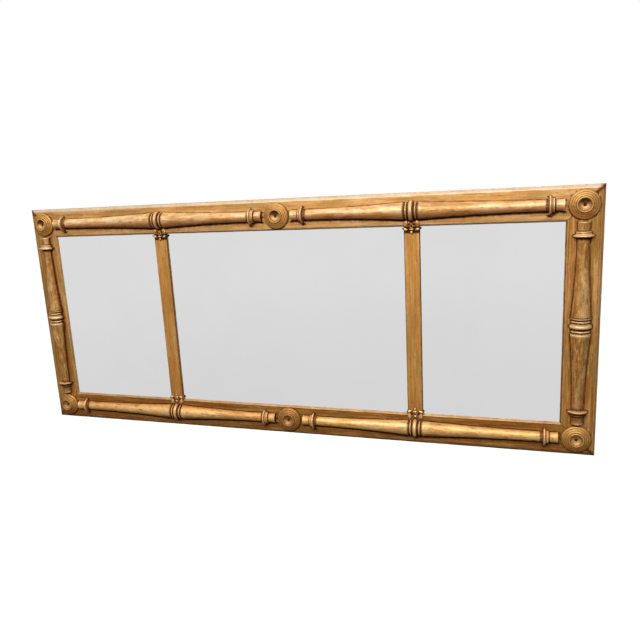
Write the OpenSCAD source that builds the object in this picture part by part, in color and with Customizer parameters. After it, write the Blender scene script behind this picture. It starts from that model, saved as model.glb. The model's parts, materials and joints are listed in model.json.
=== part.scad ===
// Three-plate overmantel mirror in a gilt wooden frame.
// X runs to the viewer's right, +Z is up and the front faces -Y. The back of the frame lies on Y = 0,
// and the origin is the middle of the frame's lower back edge.

/* [Frame] */
// Width over the outer edges
frame_w = 1480; // [1400:5:1560]
// Height over the outer edges
frame_h = 610; // [570:5:660]
// Thickness of the rails and stiles, front to back
frame_t = 30; // [28:0.5:36]
// Face width of the rails and stiles
rail_w = 77; // [75:0.5:84]
// Width of the bevel along the outer edge
outer_bevel_w = 9; // [6:0.5:10]
// Depth of the bevel along the outer edge
outer_bevel_d = 6; // [3:0.5:8]
// Width of the bevel along the sight edge
inner_bevel_w = 4; // [2:0.5:5]
// Depth of the bevel along the sight edge
inner_bevel_d = 4; // [2:0.5:4.5]

/* [Rabbet and plates] */
// Thickness of the lip in front of the plates
lip_t = 5; // [4.5:0.5:8]
// Distance that the rabbet reaches behind the sight edge
rabbet_w = 8; // [6:0.5:10]
// Thickness of a mirror plate
plate_t = 4; // [3:0.5:5]
// Room between a plate and the wood at its sides and top
plate_gap = 1; // [0.5:0.1:1.5]
// Thickness of a backboard
backboard_t = 5; // [3:0.5:6]

/* [Muntins] */
// Distance from the middle of the frame to the middle of a muntin
muntin_x = 332; // [310:1:350]
// Face width of a muntin
muntin_w = 37.5; // [35:0.5:42]
// Width of the stem behind a muntin's face
muntin_stem_w = 18; // [16:0.5:22]
// Distance that the stem reaches behind the lip
muntin_stem_d = 15; // [13:0.5:16]
// Chamfer along the front edges of a muntin
muntin_chamfer = 1.5; // [0.5:0.25:3]

/* [Corner tongues] */
// Thickness of a tongue
tongue_t = 4; // [3:0.5:5]
// Length of a tongue along the mitre
tongue_l = 50; // [40:1:54]
// Width of a tongue across the mitre
tongue_w = 30; // [20:1:34]
// Distance of a tongue from the outer corner, along the mitre, to its middle
tongue_in = 51; // [47:0.5:54]
// Wood between a tongue and the back of the frame
tongue_back = 6; // [4:0.5:8]
// Room round a tongue in its slot
tongue_gap = 0.15; // [0.1:0.05:0.3]

/* [Roundels] */
// Diameter of a roundel
roundel_d = 63; // [60:0.5:69]
// Height of a roundel's outer rim above the frame's face
roundel_rim_h = 5; // [4:0.5:7]
// Height gained from the rim to the top of the lip round the cup
roundel_rise = 10; // [7:0.5:12]
// Width of one of the turned beads that step up to the lip
roundel_bead_w = 4.2; // [3.5:0.1:4.6]
// Diameter of the lip round the cup, over its outer edge
roundel_lip_d = 35; // [33:0.5:38]
// Width of the lip round the cup
roundel_lip_w = 4.5; // [3.5:0.1:5.5]
// Depth of the cup below the lip
roundel_cup_d = 7; // [5:0.5:8]
// Diameter of the pit in the middle of the cup
roundel_pit_d = 5; // [3:0.5:6]
// Depth of the pit
roundel_pit_h = 2; // [1:0.5:3]
// Diameter of the spigot behind a roundel
spigot_d = 20; // [14:0.5:24]
// Length of the spigot
spigot_l = 10; // [7:0.5:11]
// Room round the spigot in its hole
spigot_gap = 0.1; // [0.05:0.05:0.2]

/* [Balusters] */
// Gap between a roundel and the end of a baluster on a rail
rail_baluster_gap = 7; // [3:0.5:9]
// Gap between a roundel and the end of a baluster on a stile
stile_baluster_gap = 5; // [2:0.5:7]
// Length of the plain neck at each end
neck_l = 22; // [18:0.5:26]
// Length of the flare at the tip of the neck
neck_flare_l = 6; // [4:0.5:8]
// Radius gained over the flare
neck_flare_r = 1.2; // [0.5:0.1:2]
// Diameter of the neck on a rail
rail_neck_d = 26; // [24:0.5:30]
// Diameter of the neck on a stile
stile_neck_d = 26; // [24:0.5:30]
// Diameter of a collar
collar_d = 44; // [42:0.5:48]
// Width of a collar's disc
collar_w = 8; // [6:0.5:10]
// Width of the small step on each side of a collar
collar_step_w = 3; // [2:0.5:4]
// Height of that step above the neck
collar_step_h = 4; // [2:0.5:5]
// Slim diameter of the shaft on a rail, beside the collar
rail_slim_d = 26; // [23:0.5:28]
// Slim diameter of the shaft on a stile, beside the collar
stile_slim_d = 26; // [23:0.5:30]
// Full diameter of the shaft on a rail, beside the middle rings
rail_full_d = 41; // [38:0.5:43]
// Full diameter of the shaft on a stile, beside the middle rings
stile_full_d = 44.5; // [42:0.5:46.5]
// Radius that rounds the full end of a shaft
shaft_round_r = 3; // [2:0.5:4]
// Diameter of the middle torus
torus_d = 48; // [46:0.5:50]
// Width of the middle torus
torus_w = 12; // [10:0.5:14]
// Width of the thin ring on each side of the torus
ring_w = 4; // [3:0.5:5]
// Height of the torus above the thin rings
ring_drop = 3.5; // [2.5:0.5:5]
// Width of a groove beside the rings
groove_w = 3; // [2:0.5:4]
// Depth of a groove below the thin rings
groove_d = 3; // [2:0.5:4]
// Diameter of a brad
brad_d = 2; // [1.6:0.1:2.4]
// Length of a brad in the rail or stile
brad_grip = 12; // [8:0.5:16]
// Distance of the brad from the end of the neck
brad_in = 12; // [10:0.5:16]
// Depth of the brad's head below the top of the neck
brad_sink = 1; // [0.5:0.25:2]
// Room round a brad in its hole
brad_gap = 0.05; // [0.02:0.01:0.1]

/* [Ornaments] */
// Width over the points of the petals
ornament_w = 45; // [42:0.5:48]
// Reach of the prongs over the rail, from the sight edge
ornament_up = 14.5; // [12:0.5:15]
// Reach of the tip over the muntin, from the sight edge
ornament_down = 18.5; // [18:0.5:20]
// Height of the leaves at their middle
ornament_h = 4.5; // [3:0.5:6]
// Height of the leaves at their points
ornament_edge_h = 1.5; // [1:0.25:2]
// Thickness of the web that ties the leaves together
ornament_web_t = 1.2; // [0.8:0.1:1.5]
// Width of the web along the sight edge
ornament_web_w = 5; // [4:0.5:6]
// Width of a prong
prong_w = 11; // [9:0.5:12]
// Distance between the points of the two prongs
prong_tips_w = 23; // [22:0.5:25]
// Distance between the roots of the two prongs
prong_roots_w = 28; // [26:0.5:30]
// Width of a petal
petal_w = 7; // [5:0.5:8]
// Distance of a petal's point from the sight edge
petal_in = 2.5; // [2:0.25:4]
// Distance from the sight edge to the middle of the loop over the muntin
loop_in = 11; // [10:0.5:12]
// Outer diameter of the loop and of the ring round the eye
loop_d = 9.5; // [8.5:0.25:10.5]
// Diameter of the round wire of loop and ring
loop_wire_d = 3; // [2.6:0.1:3.4]
// Diameter of the knob in the eye
knob_d = 3; // [2.5:0.1:3.4]
// Distance from the sight edge to the bar between the eye and the loop
crossbar_in = 5.5; // [5:0.25:6]
// Length of that bar
crossbar_l = 13; // [11:0.5:15]
// Width of that bar
crossbar_w = 4; // [3:0.5:5]
// Width of the tip
tip_w = 4.5; // [3.5:0.25:4.5]

/* [Glazing points] */
// Length of a point
point_l = 12; // [10:0.5:14]
// Width of a point
point_w = 9; // [7:0.5:11]
// Thickness of a point
point_t = 0.8; // [0.6:0.1:1.2]
// Length of a point that is driven into the wood
point_grip = 6; // [4:0.5:7]
// Distance of the outer points from the corners of their plate
point_in = 70; // [50:5:90]

/* [Hangers] */
// Height of the hinge of a hanger above the lower edge of the frame
hanger_z = 430; // [380:5:470]
// Width of a strap
strap_w = 16; // [14:0.5:18]
// Thickness of the folded strap
strap_t = 2.4; // [2:0.1:3]
// Length of a strap below its eye
strap_l = 38; // [36:0.5:46]
// Wall of the eye round the ring
eye_wall = 1.3; // [1:0.1:1.6]
// Room round the ring's wire in the eye
eye_gap = 0.05; // [0.03:0.01:0.09]
// Diameter of the ring's wire
wire_d = 3; // [2.4:0.1:3.4]
// Straight part of the wire at each side of the eye
wire_side = 0.5; // [0.4:0.1:1]
// Bend radius at the lower corners of the ring
ring_bend_r = 2.5; // [2:0.1:3]
// Straight leg of the ring between bend and bow
ring_leg_l = 5; // [4:0.5:8]
// Gap between the raised ring and the back of the frame
ring_rest_gap = 0.3; // [0.2:0.1:0.5]
// Shank diameter of a hanger screw
screw_d = 3.5; // [3:0.1:4]
// Length of the shank below the strap
screw_l = 16; // [12:0.5:20]
// Diameter of the screw's head
screw_head_d = 7; // [6:0.1:7.5]
// Height of the screw's head
screw_head_h = 2; // [1.6:0.1:2.4]
// Diameter of the screw's blunt tip
screw_tip_d = 0.6; // [0.4:0.1:1]
// Room round the shank in the strap
screw_gap = 0.2; // [0.1:0.05:0.3]
// Room round the shank in the wood
pilot_gap = 0.05; // [0.02:0.01:0.1]
// Width of the slot in the head
screw_slot_w = 1.1; // [0.8:0.1:1.4]
// Distance of the first screw from the ring's hinge
screw_first = 9.2; // [9:0.1:9.8]
// Distance between the two screws
screw_pitch = 20; // [19:0.5:24]

/* [Hidden] */

$fn = 96;
// Overlap of a cutter past the face that it opens
cut = 1;
// Steps in the hollow taper of a shaft
taper_steps = 12;
// Turned beads round the rim of a roundel
roundel_beads = 3;
// Glazing points along the top, and as many along the bottom, of the middle board
middle_points = 4;
// Screws in one strap
strap_screws = 2;

gold = [0.76, 0.55, 0.29];
deep_gold = [0.68, 0.47, 0.22];
bright_gold = [0.85, 0.66, 0.38];
raw_wood = [0.62, 0.46, 0.30];
silvered = [0.85, 0.86, 0.87];
steel = [0.62, 0.62, 0.62];
brass = [0.72, 0.58, 0.30];

// Main planes, front to back
front_y = -frame_t;
plate_y = front_y + lip_t;
board_y = plate_y + plate_t;
point_y = board_y + backboard_t;

// Line on which roundels and balusters sit: the middle of the flat, measured from the outer edge
line_in = (outer_bevel_w + rail_w - inner_bevel_w) / 2;
corner_x = frame_w / 2 - line_in;
low_z = line_in;
high_z = frame_h - line_in;
mid_z = frame_h / 2;

// Walls of the rabbet and of the muntin's stem
rabbet_in = rail_w - rabbet_w;
rabbet_x = frame_w / 2 - rabbet_in;
stem_in_x = muntin_x - muntin_stem_w / 2;
stem_out_x = muntin_x + muntin_stem_w / 2;

roundel_r = roundel_d / 2;
rail_end_in = roundel_r + rail_baluster_gap;
stile_end_in = roundel_r + stile_baluster_gap;
collar_total_w = collar_w + 2 * collar_step_w;
rings_half_w = torus_w / 2 + groove_w + ring_w + groove_w;
shaft_end_in = neck_l + collar_total_w;
thin_ring_r = torus_d / 2 - ring_drop;
groove_r = thin_ring_r - groove_d;

wire_r = wire_d / 2;
eye_bore_r = wire_r + eye_gap;
eye_r = eye_bore_r + eye_wall;
bar_half = strap_w / 2 + wire_side;
bow_r = bar_half + ring_bend_r;
ring_reach = ring_bend_r + ring_leg_l + bow_r;
ring_lean = asin((eye_r - wire_r - ring_rest_gap) / ring_reach);
hanger_x = corner_x;

// Bars of the frame

// Section of a bar: first value from the outer edge inwards, second from the back to the front
module bar_section() {
    polygon([
        [0, 0],
        [0, frame_t - outer_bevel_d],
        [outer_bevel_w, frame_t],
        [rail_w - inner_bevel_w, frame_t],
        [rail_w, frame_t - inner_bevel_d],
        [rail_w, frame_t - lip_t],
        [rabbet_in, frame_t - lip_t],
        [rabbet_in, 0]
    ]);
}

// Bar along X with its outer edge on Z = 0 and its ends mitred
module mitred_bar(length) {
    intersection() {
        translate([-length / 2, 0, 0])
            rotate([0, -90, 180])
                linear_extrude(length) bar_section();
        translate([0, cut, 0])
            rotate([90, 0, 0])
                linear_extrude(frame_t + 2 * cut)
                    polygon([
                        [-length / 2 - cut, -cut],
                        [length / 2 + cut, -cut],
                        [length / 2 - rail_w - cut, rail_w + cut],
                        [-length / 2 + rail_w + cut, rail_w + cut]
                    ]);
    }
}

// Housings in the rails' lips that take the ends of the muntins' faces
module muntin_housings() {
    for (side = [-1, 1])
        translate([side * muntin_x - muntin_w / 2, front_y - cut, rabbet_in])
            cube([muntin_w, lip_t + cut, frame_h - 2 * rabbet_in]);
}

// Bar of T section from rail to rail
module muntin() {
    face_x = muntin_w / 2;
    stem_x = muntin_stem_w / 2;
    stem_y = plate_y + muntin_stem_d;
    translate([0, 0, rabbet_in])
        linear_extrude(frame_h - 2 * rabbet_in)
            polygon([
                [muntin_chamfer - face_x, front_y],
                [face_x - muntin_chamfer, front_y],
                [face_x, front_y + muntin_chamfer],
                [face_x, plate_y],
                [stem_x, plate_y],
                [stem_x, stem_y],
                [-stem_x, stem_y],
                [-stem_x, plate_y],
                [-face_x, plate_y],
                [-face_x, front_y + muntin_chamfer]
            ]);
}

// Loose tongue in the mitre of the lower left corner, grown by the given room
module tongue(room) {
    translate([-frame_w / 2, -tongue_back, 0])
        rotate([90, 0, 0])
            rotate(45)
                translate([tongue_in - tongue_l / 2 - room, -tongue_w / 2 - room, -room])
                    cube([tongue_l + 2 * room, tongue_w + 2 * room, tongue_t + 2 * room]);
}

// Moves what belongs to the lower left corner to another corner
module to_corner(side, level) {
    mirror([side > 0 ? 1 : 0, 0, 0])
        translate([0, 0, level > 0 ? frame_h : 0])
            mirror([0, 0, level > 0 ? 1 : 0])
                children();
}

// Turned work

// Roundel with its axis along Z, its back face on Z = 0 and its spigot below
module roundel_turning() {
    lip_r = roundel_lip_d / 2;
    cup_r = lip_r - roundel_lip_w;
    top_h = roundel_rim_h + roundel_rise;
    bead_r = roundel_bead_w / 2;
    cup_ball_r = (cup_r * cup_r + roundel_cup_d * roundel_cup_d) / (2 * roundel_cup_d);
    slope = (roundel_rise - bead_r) / (roundel_r - lip_r);
    rotate_extrude() {
        difference() {
            union() {
                square([roundel_r, roundel_rim_h - bead_r]);
                translate([0, -spigot_l]) square([spigot_d / 2, spigot_l + cut]);
                polygon([
                    [0, 0],
                    [roundel_r - bead_r, 0],
                    [roundel_r - bead_r, roundel_rim_h - bead_r],
                    [lip_r - bead_r, roundel_rim_h - bead_r + slope * (roundel_r - lip_r)],
                    [0, roundel_rim_h - bead_r + slope * (roundel_r - lip_r)]
                ]);
                for (i = [0:roundel_beads - 1]) {
                    bead_in = i * roundel_bead_w;
                    translate([roundel_r - bead_r - bead_in, roundel_rim_h - bead_r + slope * bead_in])
                        circle(bead_r);
                }
                square([lip_r - roundel_lip_w / 2, top_h - roundel_lip_w / 2]);
                translate([lip_r - roundel_lip_w / 2, top_h - roundel_lip_w / 2]) circle(roundel_lip_w / 2);
                square([lip_r - roundel_lip_w / 2, top_h]);
            }
            intersection() {
                translate([0, top_h - roundel_cup_d + cup_ball_r]) circle(cup_ball_r);
                square([roundel_r, top_h + cup_ball_r * 2]);
            }
            translate([0, top_h - roundel_cup_d - roundel_pit_h])
                square([roundel_pit_d / 2, roundel_pit_h + roundel_cup_d]);
        }
    }
}

// Roundel on the frame, its axis at the given place
module roundel(x, z) {
    translate([x, front_y, z]) rotate([90, 0, 0]) roundel_turning();
}

// Holes for the spigots of the roundels in one row
module spigot_holes(z) {
    for (x = [-corner_x, 0, corner_x])
        translate([x, front_y - cut, z])
            rotate([-90, 0, 0])
                cylinder(r = spigot_d / 2 + spigot_gap, h = spigot_l + spigot_gap + cut);
}

// Outline of one half of a baluster: radius first, then distance from the middle rings
module baluster_half(length, neck_r, slim_r, full_r) {
    shaft_end = length - shaft_end_in;
    shaft_l = shaft_end - rings_half_w;
    collar_at = shaft_end + collar_step_w;
    collar_r = collar_d / 2;
    edge_r = collar_w / 2;
    ring_at = torus_w / 2 + groove_w;
    // core through the grooves
    square([groove_r, rings_half_w + cut]);
    // middle torus
    square([torus_d / 2 - torus_w / 2, torus_w / 2]);
    intersection() {
        translate([torus_d / 2 - torus_w / 2, 0]) circle(torus_w / 2);
        square([torus_d, torus_w]);
    }
    // thin ring
    translate([0, ring_at]) square([thin_ring_r - ring_w / 2, ring_w]);
    translate([thin_ring_r - ring_w / 2, ring_at + ring_w / 2]) circle(ring_w / 2);
    // rounded full end of the shaft, then its hollow taper
    translate([0, rings_half_w]) square([full_r - shaft_round_r, shaft_round_r]);
    translate([full_r - shaft_round_r, rings_half_w + shaft_round_r]) circle(shaft_round_r);
    polygon(concat(
        [[0, rings_half_w + shaft_round_r]],
        [for (i = [0:taper_steps])
            let (along = i / taper_steps, left = 1 - along)
            [slim_r + (full_r - slim_r) * left * left,
             rings_half_w + shaft_round_r + (shaft_l - shaft_round_r) * along]],
        [[0, shaft_end]]
    ));
    // collar between its two steps
    translate([0, shaft_end - cut]) square([slim_r, collar_total_w + cut]);
    translate([0, shaft_end]) square([slim_r + collar_step_h, collar_step_w]);
    translate([0, collar_at]) square([collar_r - edge_r, collar_w]);
    translate([collar_r - edge_r, collar_at + edge_r]) circle(edge_r);
    translate([0, collar_at + collar_w]) square([neck_r + collar_step_h, collar_step_w]);
    // neck and its flare
    translate([0, length - neck_l - cut]) square([neck_r, neck_l + cut]);
    polygon([
        [0, length - neck_flare_l],
        [neck_r, length - neck_flare_l],
        [neck_r + neck_flare_r, length - neck_flare_r],
        [neck_r, length],
        [0, length]
    ]);
}

// Split baluster along Z, its flat back on Y = 0, its rings at Z = 0
module split_baluster(down_l, up_l, neck_r, slim_r, full_r) {
    rotate(180)
        rotate_extrude(angle = 180)
            union() {
                baluster_half(up_l, neck_r, slim_r, full_r);
                mirror([0, 1]) baluster_half(down_l, neck_r, slim_r, full_r);
            }
}

// Baluster on a rail, its rings in line with a muntin: side -1 left or 1 right
module rail_baluster(side, z) {
    difference() {
        translate([side * muntin_x, front_y, z])
            rotate([0, side * 90, 0])
                split_baluster(
                    muntin_x - rail_end_in,
                    corner_x - rail_end_in - muntin_x,
                    rail_neck_d / 2,
                    rail_slim_d / 2,
                    rail_full_d / 2
                );
        rail_brads(side, z, brad_gap);
    }
}

module stile_baluster(side) {
    half_l = mid_z - low_z - stile_end_in;
    difference() {
        translate([side * corner_x, front_y, mid_z])
            split_baluster(half_l, half_l, stile_neck_d / 2, stile_slim_d / 2, stile_full_d / 2);
        stile_brads(side, brad_gap);
    }
}

// Brad driven along +Y, its head below the top of a neck, grown by the given room
module brad(x, z, neck_r, room) {
    sunk = room > 0 ? -brad_sink - cut : 0;
    head_y = front_y - neck_r + brad_sink;
    translate([x, head_y + sunk, z])
        rotate([-90, 0, 0])
            cylinder(r = brad_d / 2 + room, h = neck_r - brad_sink + brad_grip + room - sunk);
}

module rail_brads(side, z, room) {
    for (x = [rail_end_in + brad_in, corner_x - rail_end_in - brad_in])
        brad(side * x, z, rail_neck_d / 2, room);
}

module stile_brads(side, room) {
    for (z = [low_z + stile_end_in + brad_in, high_z - stile_end_in - brad_in])
        brad(side * corner_x, z, stile_neck_d / 2, room);
}

// Ornaments

// Leaf with two points and a domed top, from one point of the plane to another. The ball that shapes
// the dome is turned so that its poles lie below the leaf.
module leaf(from, to, widest) {
    run = norm(to - from);
    width = min(widest, run);
    turn = atan2(to[1] - from[1], to[0] - from[0]);
    side_r = (run * run + width * width) / (4 * width);
    fall = ornament_h - ornament_edge_h;
    dome_r = (run * run / 4 + fall * fall) / (2 * fall);
    translate([from[0], from[1], 0])
        rotate(turn)
            translate([run / 2, 0, 0])
                intersection() {
                    translate([0, side_r - width / 2, 0]) cylinder(r = side_r, h = ornament_h + cut);
                    translate([0, width / 2 - side_r, 0]) cylinder(r = side_r, h = ornament_h + cut);
                    translate([0, 0, ornament_h - dome_r]) rotate([90, 0, 0]) sphere(dome_r);
                }
}

// Ring of round wire, cut flat where it lies on the plane
module cast_ring(at) {
    cast_r = loop_wire_d / 2;
    translate([at[0], at[1], 0])
        rotate_extrude()
            translate([loop_d / 2 - cast_r, 0])
                intersection() {
                    translate([0, cast_r / 2]) circle(cast_r);
                    translate([-cast_r, 0]) square(2 * cast_r);
                }
}

// Ornament in the plane: X across, Y from the muntin towards the rail, origin on the sight edge
module ornament_shape() {
    loop_side = loop_d / 2 - loop_wire_d / 2;
    half_web = ornament_web_w / 2;
    // how far the roots of the leaves lie inside what holds them
    root = loop_wire_d / 4;
    for (side = [-1, 1]) {
        // prong over the rail
        leaf([side * prong_roots_w / 2, -root], [side * prong_tips_w / 2, ornament_up], prong_w);
        // petal over the muntin and the edge of the plate
        leaf([side * loop_side, root - loop_in], [side * ornament_w / 2, -petal_in], petal_w);
    }
    // tip below the loop
    leaf([0, root - loop_in - loop_side], [0, -ornament_down], tip_w);
    // bar between the eye and the loop
    leaf([-crossbar_l / 2, -crossbar_in], [crossbar_l / 2, -crossbar_in], crossbar_w);
    cast_ring([0, -loop_in]);
    cast_ring([0, 0]);
    cylinder(d = knob_d, h = ornament_edge_h);
    // web that ties the eye to the prongs
    linear_extrude(ornament_web_t)
        translate([-prong_tips_w / 2, -half_web]) square([prong_tips_w, ornament_web_w]);
}

module ornament(side, level) {
    edge_z = level > 0 ? frame_h - rail_w : rail_w;
    translate([side * muntin_x, front_y, edge_z])
        rotate([90, 0, 0])
            mirror([0, level > 0 ? 0 : 1, 0])
                ornament_shape();
}

// Plates, boards and points

// Panel behind the muntins' flanges: from x0 to x1 between walls, standing on the rabbet
module panel(x0, x1, y, thickness) {
    translate([x0 + plate_gap, y, rabbet_in])
        cube([x1 - x0 - 2 * plate_gap, thickness, frame_h - 2 * rabbet_in - plate_gap]);
}

module side_panel(side, y, thickness) {
    mirror([side > 0 ? 0 : 1, 0, 0]) panel(stem_out_x, rabbet_x, y, thickness);
}

module middle_panel(y, thickness) {
    panel(-stem_in_x, stem_in_x, y, thickness);
}

// Triangle of steel on the back of a board, its tip in the wood towards the given turn
module point(x, z, turn) {
    translate([x, point_y + point_t, z])
        rotate([90, 0, 0])
            rotate(turn)
                translate([point_grip - point_l, 0, 0])
                    linear_extrude(point_t)
                        polygon([[0, -point_w / 2], [point_l, 0], [0, point_w / 2]]);
}

// Points along the upper and lower walls
module level_points() {
    first_x = point_in - stem_in_x;
    step = -2 * first_x / (middle_points - 1);
    xs = concat(
        [for (side = [-1, 1]) for (x = [stem_out_x + point_in, rabbet_x - point_in]) side * x],
        [for (i = [0:middle_points - 1]) first_x + i * step]
    );
    for (x = xs) {
        point(x, rabbet_in, -90);
        point(x, frame_h - rabbet_in, 90);
    }
}

// Points along one upright wall, tips towards the given side
module upright_points(x, turn) {
    for (z = [rabbet_in + point_in, frame_h - rabbet_in - point_in]) point(x, z, turn);
}

module stile_points(side) {
    upright_points(side * rabbet_x, side > 0 ? 0 : 180);
}

module muntin_points(side) {
    upright_points(side * stem_out_x, side > 0 ? 180 : 0);
    upright_points(side * stem_in_x, side > 0 ? 0 : 180);
}

// Hangers

// Shank and tip of a screw, grown by the given room
module hanger_screw(z, room) {
    shank_r = screw_d / 2 + room;
    translate([0, strap_t, z])
        rotate([90, 0, 0])
            rotate_extrude()
                polygon([
                    [0, 0],
                    [shank_r, 0],
                    [shank_r, strap_t + screw_l - screw_d],
                    [screw_tip_d / 2 + room, strap_t + screw_l + room],
                    [0, strap_t + screw_l + room]
                ]);
}

// Screws of one strap, without their heads when they cut the wood
module strap_screw_row(room, heads) {
    for (i = [0:strap_screws - 1]) {
        z = hanger_z - screw_first - i * screw_pitch;
        hanger_screw(z, room);
        if (heads)
            translate([0, strap_t, z])
                rotate([-90, 0, 0])
                    difference() {
                        cylinder(r = screw_head_d / 2, h = screw_head_h);
                        translate([-screw_head_d, -screw_slot_w / 2, screw_head_h / 2])
                            cube([2 * screw_head_d, screw_slot_w, screw_head_h]);
                    }
    }
}

module hanger_strap() {
    round_z = hanger_z - strap_l + strap_w / 2;
    difference() {
        union() {
            translate([-strap_w / 2, 0, round_z]) cube([strap_w, strap_t, hanger_z - round_z]);
            translate([0, 0, round_z]) rotate([-90, 0, 0]) cylinder(r = strap_w / 2, h = strap_t);
            translate([-strap_w / 2, eye_r, hanger_z]) rotate([0, 90, 0]) cylinder(r = eye_r, h = strap_w);
        }
        translate([-strap_w / 2 - cut, eye_r, hanger_z])
            rotate([0, 90, 0])
                cylinder(r = eye_bore_r, h = strap_w + 2 * cut);
        for (i = [0:strap_screws - 1])
            translate([0, -cut, hanger_z - screw_first - i * screw_pitch])
                rotate([-90, 0, 0])
                    cylinder(r = screw_d / 2 + screw_gap, h = strap_t + 2 * cut);
    }
}

// Ring with its straight bar on the hinge axis, leaning back against the frame
module hanger_ring() {
    translate([0, eye_r, hanger_z])
        rotate([ring_lean + 90, 0, 0]) {
            translate([-bar_half, 0, 0]) rotate([0, 90, 0]) cylinder(d = wire_d, h = 2 * bar_half);
            for (side = [0, 1])
                mirror([side, 0, 0]) {
                    translate([bar_half, ring_bend_r, 0])
                        rotate(-90)
                            rotate_extrude(angle = 90) translate([ring_bend_r, 0]) circle(d = wire_d);
                    translate([bow_r, ring_bend_r, 0])
                        rotate([-90, 0, 0])
                            cylinder(d = wire_d, h = ring_leg_l);
                }
            translate([0, ring_bend_r + ring_leg_l, 0])
                rotate_extrude(angle = 180) translate([bow_r, 0]) circle(d = wire_d);
        }
}

// Nodes

module rail(level) {
    z = level > 0 ? high_z : low_z;
    color(gold)
        difference() {
            to_corner(-1, level) mitred_bar(frame_w);
            muntin_housings();
            spigot_holes(z);
            for (side = [-1, 1]) {
                to_corner(side, level) tongue(tongue_gap);
                rail_brads(side, z, brad_gap);
            }
            level_points();
        }
}

module stile(side) {
    color(gold)
        difference() {
            translate([side * frame_w / 2, 0, mid_z])
                rotate([0, -side * 90, 0])
                    mitred_bar(frame_h);
            for (z = [low_z, high_z]) spigot_holes(z);
            for (level = [-1, 1]) to_corner(side, level) tongue(tongue_gap);
            stile_brads(side, brad_gap);
            stile_points(side);
            translate([side * hanger_x, 0, 0]) strap_screw_row(pilot_gap, false);
        }
}

module corner_tongue(side, level) {
    color(raw_wood) to_corner(side, level) tongue(0);
}

module muntin_bar(side) {
    color(deep_gold)
        difference() {
            translate([side * muntin_x, 0, 0]) muntin();
            muntin_points(side);
        }
}

module baluster_brads() {
    color(steel)
        for (side = [-1, 1]) {
            for (z = [low_z, high_z]) rail_brads(side, z, 0);
            stile_brads(side, 0);
        }
}

module glazing_points() {
    color(steel) {
        level_points();
        for (side = [-1, 1]) {
            stile_points(side);
            muntin_points(side);
        }
    }
}

module hanger_screws() {
    color(brass)
        for (side = [-1, 1]) translate([side * hanger_x, 0, 0]) strap_screw_row(0, true);
}

rail(1);  // top_rail
rail(-1);  // bottom_rail
stile(-1);  // left_stile
stile(1);  // right_stile
corner_tongue(-1, 1);  // corner_tongue_top_left
corner_tongue(1, 1);  // corner_tongue_top_right
corner_tongue(-1, -1);  // corner_tongue_bottom_left
corner_tongue(1, -1);  // corner_tongue_bottom_right
muntin_bar(-1);  // left_muntin
muntin_bar(1);  // right_muntin
color(bright_gold) roundel(-corner_x, high_z);  // roundel_top_left
color(bright_gold) roundel(0, high_z);  // roundel_top_middle
color(bright_gold) roundel(corner_x, high_z);  // roundel_top_right
color(bright_gold) roundel(-corner_x, low_z);  // roundel_bottom_left
color(bright_gold) roundel(0, low_z);  // roundel_bottom_middle
color(bright_gold) roundel(corner_x, low_z);  // roundel_bottom_right
color(bright_gold) rail_baluster(-1, high_z);  // baluster_top_left
color(bright_gold) rail_baluster(1, high_z);  // baluster_top_right
color(bright_gold) rail_baluster(-1, low_z);  // baluster_bottom_left
color(bright_gold) rail_baluster(1, low_z);  // baluster_bottom_right
color(bright_gold) stile_baluster(-1);  // baluster_left
color(bright_gold) stile_baluster(1);  // baluster_right
baluster_brads();
color(deep_gold) ornament(-1, 1);  // ornament_top_left
color(deep_gold) ornament(1, 1);  // ornament_top_right
color(deep_gold) ornament(-1, -1);  // ornament_bottom_left
color(deep_gold) ornament(1, -1);  // ornament_bottom_right
color(silvered) side_panel(-1, plate_y, plate_t);  // left_plate
color(silvered) middle_panel(plate_y, plate_t);  // middle_plate
color(silvered) side_panel(1, plate_y, plate_t);  // right_plate
color(raw_wood) side_panel(-1, board_y, backboard_t);  // left_backboard
color(raw_wood) middle_panel(board_y, backboard_t);  // middle_backboard
color(raw_wood) side_panel(1, board_y, backboard_t);  // right_backboard
glazing_points();
color(brass) translate([-hanger_x, 0, 0]) hanger_strap();  // left_hanger_strap
color(brass) translate([hanger_x, 0, 0]) hanger_strap();  // right_hanger_strap
color(brass) translate([-hanger_x, 0, 0]) hanger_ring();  // left_hanger_ring
color(brass) translate([hanger_x, 0, 0]) hanger_ring();  // right_hanger_ring
hanger_screws();
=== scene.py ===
import json
from math import cos, hypot, pi, radians, sin

import bmesh
import bpy
import numpy as np
from mathutils import Euler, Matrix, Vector
from mathutils.kdtree import KDTree

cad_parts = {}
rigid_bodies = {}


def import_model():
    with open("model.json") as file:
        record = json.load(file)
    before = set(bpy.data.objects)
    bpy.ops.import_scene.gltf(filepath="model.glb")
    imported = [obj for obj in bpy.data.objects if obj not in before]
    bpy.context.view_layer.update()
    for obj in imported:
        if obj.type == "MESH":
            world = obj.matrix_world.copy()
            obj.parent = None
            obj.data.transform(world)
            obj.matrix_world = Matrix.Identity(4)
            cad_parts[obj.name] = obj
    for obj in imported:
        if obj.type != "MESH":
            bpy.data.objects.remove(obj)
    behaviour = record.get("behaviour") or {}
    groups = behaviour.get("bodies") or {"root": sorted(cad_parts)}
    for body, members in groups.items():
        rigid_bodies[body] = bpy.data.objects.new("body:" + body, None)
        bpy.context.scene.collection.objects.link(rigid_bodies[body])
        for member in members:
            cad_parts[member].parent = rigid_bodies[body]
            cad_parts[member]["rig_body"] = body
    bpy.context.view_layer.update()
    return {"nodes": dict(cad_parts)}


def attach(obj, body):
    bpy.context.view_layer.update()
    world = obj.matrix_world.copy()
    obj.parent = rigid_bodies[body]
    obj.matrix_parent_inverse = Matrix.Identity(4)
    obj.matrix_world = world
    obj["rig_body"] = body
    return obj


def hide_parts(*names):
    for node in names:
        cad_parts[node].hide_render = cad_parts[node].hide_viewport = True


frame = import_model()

NODES = frame["nodes"]

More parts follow.
